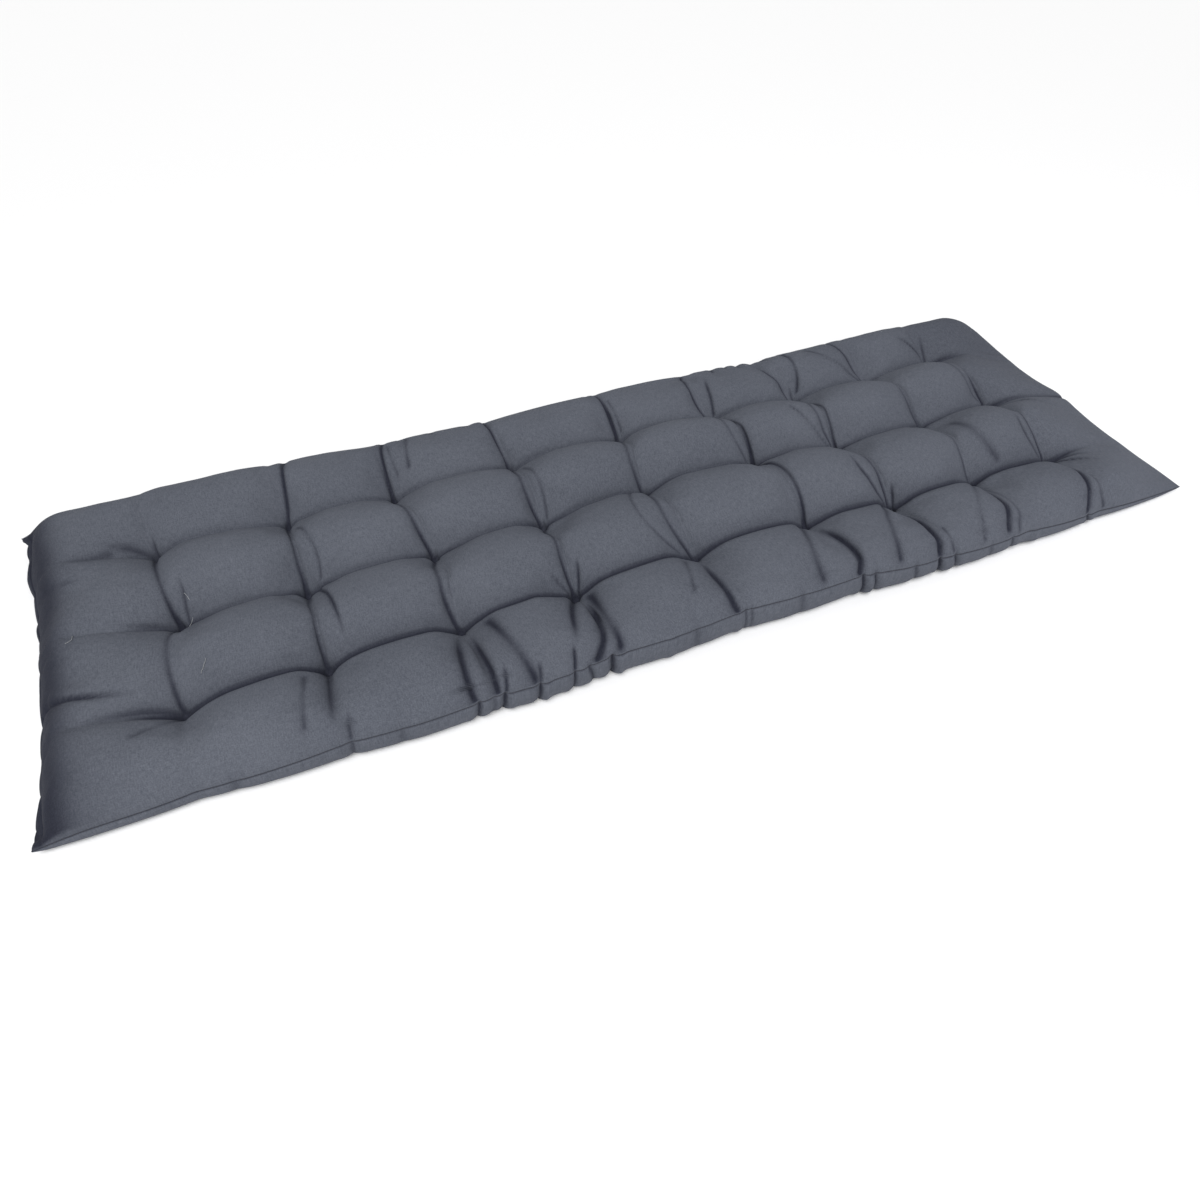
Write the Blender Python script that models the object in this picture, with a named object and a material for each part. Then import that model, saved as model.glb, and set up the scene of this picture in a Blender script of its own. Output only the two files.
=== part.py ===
"""Bench cushion: one long filled cushion, stitched through in three rows of nine.

Metres, +Z up. +X runs along the cushion, +Y across it from its front long side
to its back long side. The cushion lies on its back on z = 0, and the origin is
the centre of its outline, on the surface that it rests on.
"""

import math
from collections import namedtuple

import bmesh
import bpy

# ---- driving dimensions --------------------------------------------------
TUFT_TOP = 0.030       # height of a pulled-in stitch on the upper cloth
TUFT_UNDER = 0.012     # height to which the same stitch lifts the under cloth
CROWN = 0.076          # height of a pillow between four stitches
COLUMN_SADDLE = 0.061  # height of the channel half way between two rows
SIDE_CROWN = 0.067     # height of the pillows along the two long sides
LEFT_CROWN = 0.060     # height of the pillows at the left end
RIGHT_CROWN = 0.053    # height of the pillows at the right end
RIGHT_BACK_CROWN = 0.062    # height of the last of them, in the back corner
ALONG_POWER = 0.68     # how flat the pillows are along the cushion, 1 for a sine curve
ARC_POWER = 0.62       # how flat the arcs of the stitched rows are
ACROSS_POWER = 0.98    # how flat the pillows are across the cushion
EDGE_POWER = 0.85      # how flat the outermost pillows are towards the seams
PIT = 0.60             # share by which the cloth is drawn down round a stitch
PIT_RADIUS = 0.019     # radius of that pit
SIDE_RUN = 0.046       # run over which the upper cloth rises from the long-side seam
UNDER_RUN = 0.015      # run over which the under cloth comes up to the seam
END_SEAM = 0.009       # height of the end seams
SEAM_FULL = 0.005      # how much higher the side seams stand in the first cell
SEAM_FULL_AT = 0.42    # where in that cell
SEAM_FULL_HALF = 0.30  # half width of that stretch, in cells
SCALLOP = 0.004        # how far the sides swell out between two channels
LIP = 0.009            # width of the flat lip of the left end's seam
LIP_HEIGHT = 0.011     # height of that lip where the wall rises from it
LEFT_RUN = 0.048       # run of the wall at the left end
LEFT_CORNER_RUN = 0.018     # how much longer that run is in the back corner
LEFT_POWER = 2.6       # how round the wall is
RIGHT_RUN = 0.140      # run of the knife edge at the right end
RIGHT_POWER = 1.35     # how round the knife edge is
UNDER_DENT = 0.036     # radius of the dimple round a stitch on the underside
UNDER_CHANNEL = 0.005  # lift of the under cloth along a channel
UNDER_CHANNEL_HALF = 0.012  # half width of that channel
LEFT_ROUND = 0.009     # how far the left back corner is rounded off
RIGHT_ROUND = 0.016    # how far the right back corner is rounded off
CENTRE_X = -0.0003     # moves the whole outline so that its centre is x = 0
CENTRE_Y = -0.0013     # and y = 0

# One row for each section across the cushion: its two ends and its nine
# columns of stitches. x and y are given where the section meets the front
# seam, the three rows of stitches (c front, b middle, a back) and the back
# seam; seam is the height of the long-side seams there.
Section = namedtuple(
    "Section",
    "name x_front x_c x_b x_a x_back y_front y_c y_b y_a y_back seam swell",
)
SECTIONS = (
    Section("left_end", -0.759, -0.750, -0.748, -0.752, -0.770, -0.217, -0.118, 0.000, 0.114, 0.232, 0.014, 0.0),
    Section("column_1", -0.612, -0.608, -0.598, -0.612, -0.615, -0.216, -0.125, -0.004, 0.118, 0.224, 0.025, 0.90),
    Section("column_2", -0.464, -0.461, -0.459, -0.459, -0.462, -0.224, -0.123, -0.004, 0.117, 0.224, 0.037, 0.92),
    Section("column_3", -0.309, -0.311, -0.304, -0.324, -0.326, -0.228, -0.122, 0.001, 0.117, 0.216, 0.041, 0.94),
    Section("column_4", -0.165, -0.169, -0.160, -0.162, -0.166, -0.229, -0.122, 0.005, 0.121, 0.210, 0.048, 0.97),
    Section("column_5", 0.000, -0.003, -0.009, 0.002, 0.002, -0.227, -0.116, 0.015, 0.128, 0.214, 0.051, 1.02),
    Section("column_6", 0.166, 0.161, 0.163, 0.151, 0.148, -0.229, -0.118, 0.016, 0.125, 0.219, 0.048, 1.03),
    Section("column_7", 0.298, 0.294, 0.295, 0.294, 0.290, -0.234, -0.129, 0.004, 0.121, 0.220, 0.038, 0.98),
    Section("column_8", 0.440, 0.435, 0.449, 0.436, 0.434, -0.233, -0.127, 0.006, 0.128, 0.224, 0.034, 0.95),
    Section("column_9", 0.582, 0.576, 0.580, 0.562, 0.560, -0.230, -0.127, 0.009, 0.135, 0.233, 0.023, 0.92),
    Section("right_end", 0.762, 0.751, 0.748, 0.742, 0.752, -0.224, -0.122, 0.004, 0.124, 0.243, 0.007, 0.0),
)

# Height of a row's channel half way between two stitches, for each cell along
# the cushion: c is the front row, b the middle one and a the back one.
Saddle = namedtuple("Saddle", "cell c b a")
SADDLES = (
    Saddle("left_end", 0.0575, 0.0575, 0.0590),
    Saddle("cell_1", 0.0525, 0.0440, 0.0445),
    Saddle("cell_2", 0.0520, 0.0470, 0.0430),
    Saddle("cell_3", 0.0560, 0.0480, 0.0460),
    Saddle("cell_4", 0.0545, 0.0430, 0.0430),
    Saddle("cell_5", 0.0535, 0.0465, 0.0400),
    Saddle("cell_6", 0.0520, 0.0440, 0.0460),
    Saddle("cell_7", 0.0510, 0.0430, 0.0430),
    Saddle("cell_8", 0.0440, 0.0420, 0.0380),
    Saddle("right_end", 0.0480, 0.0470, 0.0500),
)

# How much lower the back side is, along two stretches of the columns.
Dip = namedtuple("Dip", "name p_from p_to depth")
BACK_DIPS = (
    Dip("long", 1.70, 7.05, 0.0035),
    Dip("right_of_middle", 5.20, 7.05, 0.0075),
)

# Where the cloth is divided inside one cell of the stitching, as a share of
# the cell: close together at the channels and near the seams.
ALONG_LEFT = (0.0, 0.06, 0.11, 0.19, 0.32, 0.50, 0.68, 0.84, 0.94)
ALONG_CELL = (0.0, 0.06, 0.16, 0.32, 0.50, 0.68, 0.84, 0.94)
ACROSS_CELL = (0.0, 0.07, 0.20, 0.38, 0.56, 0.76, 0.92)
ACROSS_FRONT = (0.0, 0.05, 0.14, 0.28, 0.50, 0.75, 0.92)
ACROSS_BACK = (0.0, 0.08, 0.25, 0.50, 0.72, 0.86, 0.95)

COLOUR = (0.080, 0.092, 0.112, 1.0)
ROUGHNESS = 0.92


def smooth(t):
    t = min(1.0, max(0.0, t))
    return t * t * (3.0 - 2.0 * t)


def cubic(values, t):
    """The smooth curve through evenly spaced values, read at t."""
    last = len(values) - 1
    i = min(last - 1, max(0, int(math.floor(t))))
    f = t - i
    a = values[max(0, i - 1)]
    b, c = values[i], values[i + 1]
    d = values[min(last, i + 2)]
    return b + 0.5 * f * (c - a + f * (2 * a - 5 * b + 4 * c - d + f * (3 * (b - c) + d - a)))


def section_curve(field, column):
    return cubic([getattr(s, field) for s in SECTIONS], column)


def plan(column, row):
    """The place on the floor plan of a cell position: column 0 to 10, row 0 (front seam) to 4 (back seam)."""
    xs = [section_curve("x_" + n, column) for n in ("front", "c", "b", "a", "back")]
    ys = [section_curve("y_" + n, column) for n in ("front", "c", "b", "a", "back")]
    x, y = cubic(xs, row), cubic(ys, row)
    inside = math.sin(math.pi * (column % 1.0)) * min(1.0, column, 10.0 - column)
    y -= SCALLOP * inside * smooth(1.0 - row)
    y += SCALLOP * inside * smooth(row - 3.0)
    # the two back corners are rounded, the two front ones run out to points
    for end, cut, inward in ((0.0, LEFT_ROUND, 1.0), (10.0, RIGHT_ROUND, -1.0)):
        near = smooth(1.0 - abs(column - end) / 0.36) * smooth(1.0 - (4.0 - row) / 0.55)
        x += cut * near * inward
        y -= cut * near
    return x + CENTRE_X, y + CENTRE_Y


def swell(t, power):
    """From 0 in a channel to 1 half way between two channels."""
    return abs(math.sin(math.pi * t)) ** power


def rise(distance, run):
    """How far a round edge has risen, from 0 on the seam to 1."""
    left = max(0.0, 1.0 - distance / run)
    return math.sqrt(max(0.0, 1.0 - left * left))


def edges(column, row):
    """Distances to the nearest long-side seam, to the left end seam and to the right one."""
    x, y = plan(column, row)
    side = min(y - plan(column, 0.0)[1], plan(column, 4.0)[1] - y)
    left, right = x - plan(0.0, row)[0], plan(10.0, row)[0] - x
    return max(0.0, side), max(0.0, left), max(0.0, right)


def seam_height(column, row):
    """The seam's own height: the table's along the sides, and low along the ends."""
    side = section_curve("seam", column)
    side += SEAM_FULL * math.exp(-(((column - SEAM_FULL_AT) / SEAM_FULL_HALF) ** 2))
    across = smooth(min(row, 4.0 - row) / 0.6)
    near_end = smooth(1.0 - min(column, 10.0 - column) / 0.5)
    return side + (END_SEAM - side) * across * near_end


def to_edge(cells):
    """From 0 in the outermost channel to 1 near the seam, for a place this many cells in from it."""
    return math.sin(0.5 * math.pi * min(1.0, 1.5 * (1.0 - cells))) ** EDGE_POWER


def knife_edge(distance):
    """The nearly straight rise of the right end, from 0 on the seam to 1."""
    return 1.0 - max(0.0, 1.0 - distance / RIGHT_RUN) ** RIGHT_POWER


def wall(distance, row):
    """The steep rise of the left end, from 0 on its lip to 1; in the back corner it falls away more slowly."""
    run = LEFT_RUN + LEFT_CORNER_RUN * smooth((row - 3.25) / 0.75)
    return 1.0 - min(1.0, max(0.0, 1.0 - (distance - LIP) / run)) ** LEFT_POWER


def row_saddle(column, row):
    """Height of the channels of the stitched rows here, read between the middles of the cells."""
    t = min(9.0, max(0.0, column - 0.5))
    i = min(8, int(t))
    one, two, f = SADDLES[i], SADDLES[i + 1], t - i
    c, b, a = (getattr(one, n) * (1.0 - f) + getattr(two, n) * f for n in ("c", "b", "a"))
    return c + (b - c) * min(1.0, max(0.0, row - 1.0)) + (a - b) * min(1.0, max(0.0, row - 2.0))


def crown(column, row):
    """Height of the pillows here: lower along the sides, and lowest at the ends."""
    from_end, from_side = min(column, 10.0 - column), min(row, 4.0 - row)
    height = CROWN + (SIDE_CROWN - CROWN) * smooth((1.0 - from_side) / 0.7)
    right = RIGHT_CROWN + (RIGHT_BACK_CROWN - RIGHT_CROWN) * smooth((row - 2.8) / 0.6)
    at_end = min(height, right if column > 5.0 else LEFT_CROWN)
    return height + (at_end - height) * smooth((1.0 - from_end) / 0.5)


def pit(column, row):
    """Share of the pillows' height that is left over the pit round the nearest stitch."""
    x, y = plan(column, row)
    px, py = plan(min(9, max(1, round(column))), min(3, max(1, round(row))))
    return 1.0 - PIT * math.exp(-((x - px) ** 2 + (y - py) ** 2) / PIT_RADIUS**2)


def back_dip(column, row):
    """How much lower the back side is here."""
    down = sum(d.depth * smooth((column - d.p_from) / 0.25) * smooth((d.p_to - column) / 0.20) for d in BACK_DIPS)
    return down * smooth((row - 3.10) / 0.55)


def top_height(column, row):
    side, left, right = edges(column, row)
    from_end, from_side = min(column, 10.0 - column), min(row, 4.0 - row)
    along = swell(column, ALONG_POWER) if from_end >= 1.0 else to_edge(from_end)
    arc = swell(column, ARC_POWER) if from_end >= 1.0 else to_edge(from_end)
    across = swell(row, ACROSS_POWER) if from_side >= 1.0 else to_edge(from_side)
    at_end = smooth((1.0 - from_end) / 0.5)
    level = section_curve("swell", column) if from_end >= 1.0 else 0.91 + 0.09 * at_end
    a = row_saddle(column, row) - TUFT_TOP
    b = COLUMN_SADDLE - TUFT_TOP
    ab = crown(column, row) - TUFT_TOP - a - b
    bulge = a * (arc + (along - arc) * across) + level * (b * across + ab * along * across)
    inner = TUFT_TOP + bulge * pit(column, row) - back_dip(column, row)
    seam = seam_height(column, row)
    on_lip = math.sin(0.5 * math.pi * min(1.0, left / (0.6 * LIP))) * smooth(1.0 - (left - LIP) / 0.02)
    seam += max(0.0, LIP_HEIGHT - seam) * on_lip * smooth(side / 0.010)
    return seam + (inner - seam) * rise(side, SIDE_RUN) * wall(left, row) * knife_edge(right)


def under_height(column, row):
    side, left, right = edges(column, row)
    end = min(left, right)
    seam = seam_height(column, row)
    lift = seam * (1.0 - rise(side, UNDER_RUN) * rise(end, UNDER_RUN))
    x, y = plan(column, row)
    dent = 0.0
    for i in range(1, 10):
        for j in range(1, 4):
            if abs(column - i) < 0.6 and abs(row - j) < 0.6:
                px, py = plan(i, j)
                near = max(0.0, 1.0 - math.hypot(x - px, y - py) / UNDER_DENT)
                dent = max(dent, TUFT_UNDER * near * near * (3.0 - 2.0 * near))
    nearest_column = min(9, max(1, round(column)))
    nearest_row = min(3, max(1, round(row)))
    off_column = abs(x - plan(nearest_column, row)[0])
    off_row = abs(y - plan(column, nearest_row)[1])
    for off, inside in ((off_column, 0.3 < row < 3.7), (off_row, 0.3 < column < 9.7)):
        if inside:
            dent = max(dent, UNDER_CHANNEL * max(0.0, 1.0 - off / UNDER_CHANNEL_HALF))
    return max(lift, dent) if lift < 0.002 else lift + dent * 0.5


def stations():
    columns = list(ALONG_LEFT) + [i + t for i in range(1, 10) for t in ALONG_CELL] + [10.0]
    rows = [t for t in ACROSS_FRONT]
    rows += [j + t for j in (1, 2) for t in ACROSS_CELL]
    rows += [3.0 + t for t in ACROSS_BACK] + [4.0]
    return columns, rows


def add_skin(bm, height, faces_up):
    """One cloth of the cushion: a grid laid along the stitching and raised to its height."""
    columns, rows = stations()
    made = bmesh.ops.create_grid(bm, x_segments=len(columns) - 1, y_segments=len(rows) - 1, size=0.5)["verts"]
    made = sorted(made, key=lambda v: (round(v.co.y, 5), round(v.co.x, 5)))
    k = 0
    for row in rows:
        for column in columns:
            x, y = plan(column, row)
            made[k].co = (x, y, height(column, row))
            k += 1
    faces = list({f for v in made for f in v.link_faces})
    if not faces_up:
        bmesh.ops.reverse_faces(bm, faces=faces)


def cushion_mesh():
    bm = bmesh.new()
    add_skin(bm, top_height, True)
    add_skin(bm, under_height, False)
    rim = [v for v in bm.verts if v.is_boundary]
    bmesh.ops.remove_doubles(bm, verts=rim, dist=0.00002)
    mesh = bpy.data.meshes.new("cushion")
    bm.to_mesh(mesh)
    bm.free()
    mesh.shade_smooth()
    return mesh


def cloth_material():
    material = bpy.data.materials.new("slate_cloth")
    material.use_nodes = True
    shader = material.node_tree.nodes["Principled BSDF"]
    shader.inputs["Base Color"].default_value = COLOUR
    shader.inputs["Roughness"].default_value = ROUGHNESS
    shader.inputs["Metallic"].default_value = 0.0
    return material


def main():
    for old in list(bpy.data.objects):
        bpy.data.objects.remove(old, do_unlink=True)
    cushion = bpy.data.objects.new("cushion", cushion_mesh())
    cushion.data.materials.append(cloth_material())
    bpy.context.scene.collection.objects.link(cushion)


main()
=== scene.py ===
"""Looks of the bench cushion: a long stuffed cushion in plain slate-grey cloth,
stitched through in three rows of nine, lying on its back.

Metres, +Z up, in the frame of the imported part. Every cloth point is placed in
stitch coordinates: column 0 to 10 from the left end to the right end, row 0 to
4 from the front seam to the back seam, with the stitches at whole numbers.
"""

import math
from collections import namedtuple

import bpy
import numpy as np
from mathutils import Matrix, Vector


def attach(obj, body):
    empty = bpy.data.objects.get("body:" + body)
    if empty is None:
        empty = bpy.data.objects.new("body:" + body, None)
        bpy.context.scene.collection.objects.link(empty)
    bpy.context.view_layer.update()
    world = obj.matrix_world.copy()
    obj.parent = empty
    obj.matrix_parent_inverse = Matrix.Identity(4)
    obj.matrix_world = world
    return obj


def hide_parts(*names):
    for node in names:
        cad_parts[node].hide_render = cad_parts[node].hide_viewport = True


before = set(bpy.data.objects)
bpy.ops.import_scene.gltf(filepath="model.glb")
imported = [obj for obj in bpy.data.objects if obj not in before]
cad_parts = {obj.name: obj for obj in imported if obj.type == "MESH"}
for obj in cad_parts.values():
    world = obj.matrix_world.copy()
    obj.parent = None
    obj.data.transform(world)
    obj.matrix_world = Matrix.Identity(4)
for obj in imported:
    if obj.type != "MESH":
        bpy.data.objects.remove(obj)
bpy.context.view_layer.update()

# ---- sizes ----------------------------------------------------------------
TUFT_TOP = 0.030       # height of a pulled-in stitch on the upper cloth
TUFT_UNDER = 0.012     # height to which it lifts the under cloth
CROWN = 0.076          # pillow between four stitches
COLUMN_SADDLE = 0.061  # channel half way between two rows
SIDE_CROWN = 0.067     # pillows along the long sides
SIDE_SADDLE = 0.061    # a column channel where it runs out to a long side
END_CROWN = 0.060      # pillows at the left end
RIGHT_CROWN = 0.053    # and at the right end
RIGHT_BACK_CROWN = 0.062
SIDE_RUN = 0.046       # run over which the upper cloth rises from a side seam
END_SEAM = 0.009       # height of the end seams
SCALLOP = 0.004        # swell of the sides between two channels
LEFT_ROUND = 0.009
RIGHT_ROUND = 0.016
ALONG_POWER = 0.68     # how flat the pillows are along the cushion
ARC_POWER = 0.62       # how flat the arcs of the stitched rows are
ACROSS_POWER = 0.98    # how flat the pillows are across the cushion
PIT = 0.60             # share by which the cloth is drawn down round a stitch
PIT_RADIUS = 0.019
SEAM_FULL = 0.005      # the front seam stands this much higher near the left end
CENTRE_X = -0.0003
CENTRE_Y = -0.0013

Section = namedtuple(
    "Section",
    "name x_front x_c x_b x_a x_back y_front y_c y_b y_a y_back seam swell",
)
SECTIONS = (
    Section("left_end", -0.759, -0.750, -0.748, -0.752, -0.770, -0.217, -0.118, 0.000, 0.114, 0.232, 0.014, 0.0),
    Section("column_1", -0.612, -0.608, -0.598, -0.612, -0.615, -0.216, -0.125, -0.004, 0.118, 0.224, 0.025, 0.90),
    Section("column_2", -0.464, -0.461, -0.459, -0.459, -0.462, -0.224, -0.123, -0.004, 0.117, 0.224, 0.037, 0.92),
    Section("column_3", -0.309, -0.311, -0.304, -0.324, -0.326, -0.228, -0.122, 0.001, 0.117, 0.216, 0.041, 0.94),
    Section("column_4", -0.165, -0.169, -0.160, -0.162, -0.166, -0.229, -0.122, 0.005, 0.121, 0.210, 0.048, 0.97),
    Section("column_5", 0.000, -0.003, -0.009, 0.002, 0.002, -0.227, -0.116, 0.015, 0.128, 0.214, 0.051, 1.02),
    Section("column_6", 0.166, 0.161, 0.163, 0.151, 0.148, -0.229, -0.118, 0.016, 0.125, 0.219, 0.048, 1.03),
    Section("column_7", 0.298, 0.294, 0.295, 0.294, 0.290, -0.234, -0.129, 0.004, 0.121, 0.220, 0.038, 0.98),
    Section("column_8", 0.440, 0.435, 0.449, 0.436, 0.434, -0.233, -0.127, 0.006, 0.128, 0.224, 0.034, 0.95),
    Section("column_9", 0.582, 0.576, 0.580, 0.562, 0.560, -0.230, -0.127, 0.009, 0.135, 0.233, 0.023, 0.92),
    Section("right_end", 0.762, 0.751, 0.748, 0.742, 0.752, -0.224, -0.122, 0.004, 0.124, 0.243, 0.007, 0.0),
)

# Height of the channel half way between two stitches of a row, for each cell
# along the cushion: row c is the front one, b the middle and a the back.
Saddle = namedtuple("Saddle", "cell c b a")
SADDLES = (
    Saddle(0, 0.0575, 0.0575, 0.0590),
    Saddle(1, 0.0525, 0.0440, 0.0445),
    Saddle(2, 0.0520, 0.0470, 0.0430),
    Saddle(3, 0.0560, 0.0480, 0.0460),
    Saddle(4, 0.0545, 0.0430, 0.0430),
    Saddle(5, 0.0535, 0.0465, 0.0400),
    Saddle(6, 0.0520, 0.0440, 0.0460),
    Saddle(7, 0.0510, 0.0430, 0.0430),
    Saddle(8, 0.0440, 0.0420, 0.0380),
    Saddle(9, 0.0480, 0.0425, 0.0500),
)

# The back seam is gathered here and there: column, depth and half width in
# millimetres of each notch of the back outline.
Notch = namedtuple("Notch", "p depth width")
BACK_NOTCHES = (
    Notch(2.15, 2.5, 4.0),
    Notch(3.24, 3.0, 4.0),
    Notch(3.52, 2.5, 4.0),
    Notch(3.83, 3.0, 7.0),
    Notch(3.97, 5.0, 5.0),
    Notch(4.90, 3.5, 4.0),
    Notch(6.08, 7.0, 4.5),
    Notch(6.38, 5.5, 6.0),
    Notch(6.68, 6.5, 6.0),
    Notch(6.87, 7.5, 5.0),
)
# how much lower the back side is, along two stretches of the columns
Dip = namedtuple("Dip", "p_from p_to depth")
BACK_DIPS = (
    Dip(1.70, 7.05, 0.0035),
    Dip(5.20, 7.05, 0.0075),
)

# the left end: a thin ruffled lip of the seam, then a steep wall
LIP = 0.009            # width of the lip
LIP_HEIGHT = 0.011
LEFT_RUN = 0.048       # run of the wall that rises from it
LEFT_POWER = 2.6
LEFT_CORNER_RUN = 0.018
LEFT_DRAWN = 0.0055    # the lip is drawn in beside the back corner
RIGHT_RUN = 0.140      # run of the knife edge at the right end
RIGHT_POWER = 1.35
RIGHT_CORNER_RUN = 0.045    # the knife edge rises over this much less in the back corner
RUFFLE = 0.0036        # how far the lip stands out between two of its notches
LIP_NOTCHES = (0.0, 0.17, 0.31, 0.67, 1.0, 1.38, 1.98, 2.2, 2.41, 2.65, 3.07, 3.54, 3.8, 4.0)

# the simulation starts from a little less fill, because the cloth swells
START_FILL = 0.84      # share of the pillows' height over the stitches
START_EDGE = 0.070     # the share grows to 1 over this distance from the seams
SIM_CELL = 24          # divisions of one stitch cell along the cushion
SIM_ROWS = (18, 20, 20, 18)
SIM_FRAMES = 24
SIM_PRESSURE = 4.0
SIM_FULLNESS = 0.06    # how much larger the cut cloth is than the shape it fills
SIM_SNUG = 0.050       # the cloth is taut at the seams, and as full as that this far in
STITCH_HOLD = 0.012    # round a stitch the cloth stays where it is held
SIM_CAP = 0.016        # furthest that the simulation may move a point

# the fine mesh
ACROSS = 152           # rows of points from seam to seam
ALONG = 468            # faces along each row

# the stitched rows: a thin valley in the channel, deepest at the stitches, and how much painted shade lies along it
RowLine = namedtuple("RowLine", "row depth width between shade")
ROW_LINES = (
    RowLine(1, 0.0038, 0.0040, 0.85, 1.40),
    RowLine(2, 0.0034, 0.0038, 0.66, 0.82),
    RowLine(3, 0.0028, 0.0036, 0.58, 0.56),
)
PLEAT_RIDGE = 0.26     # the cloth beside a pleat of the front stands up by this share of its depth
PINCH = 0.0016         # extra depth at each stitch
PINCH_RADIUS = 0.0060

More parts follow.
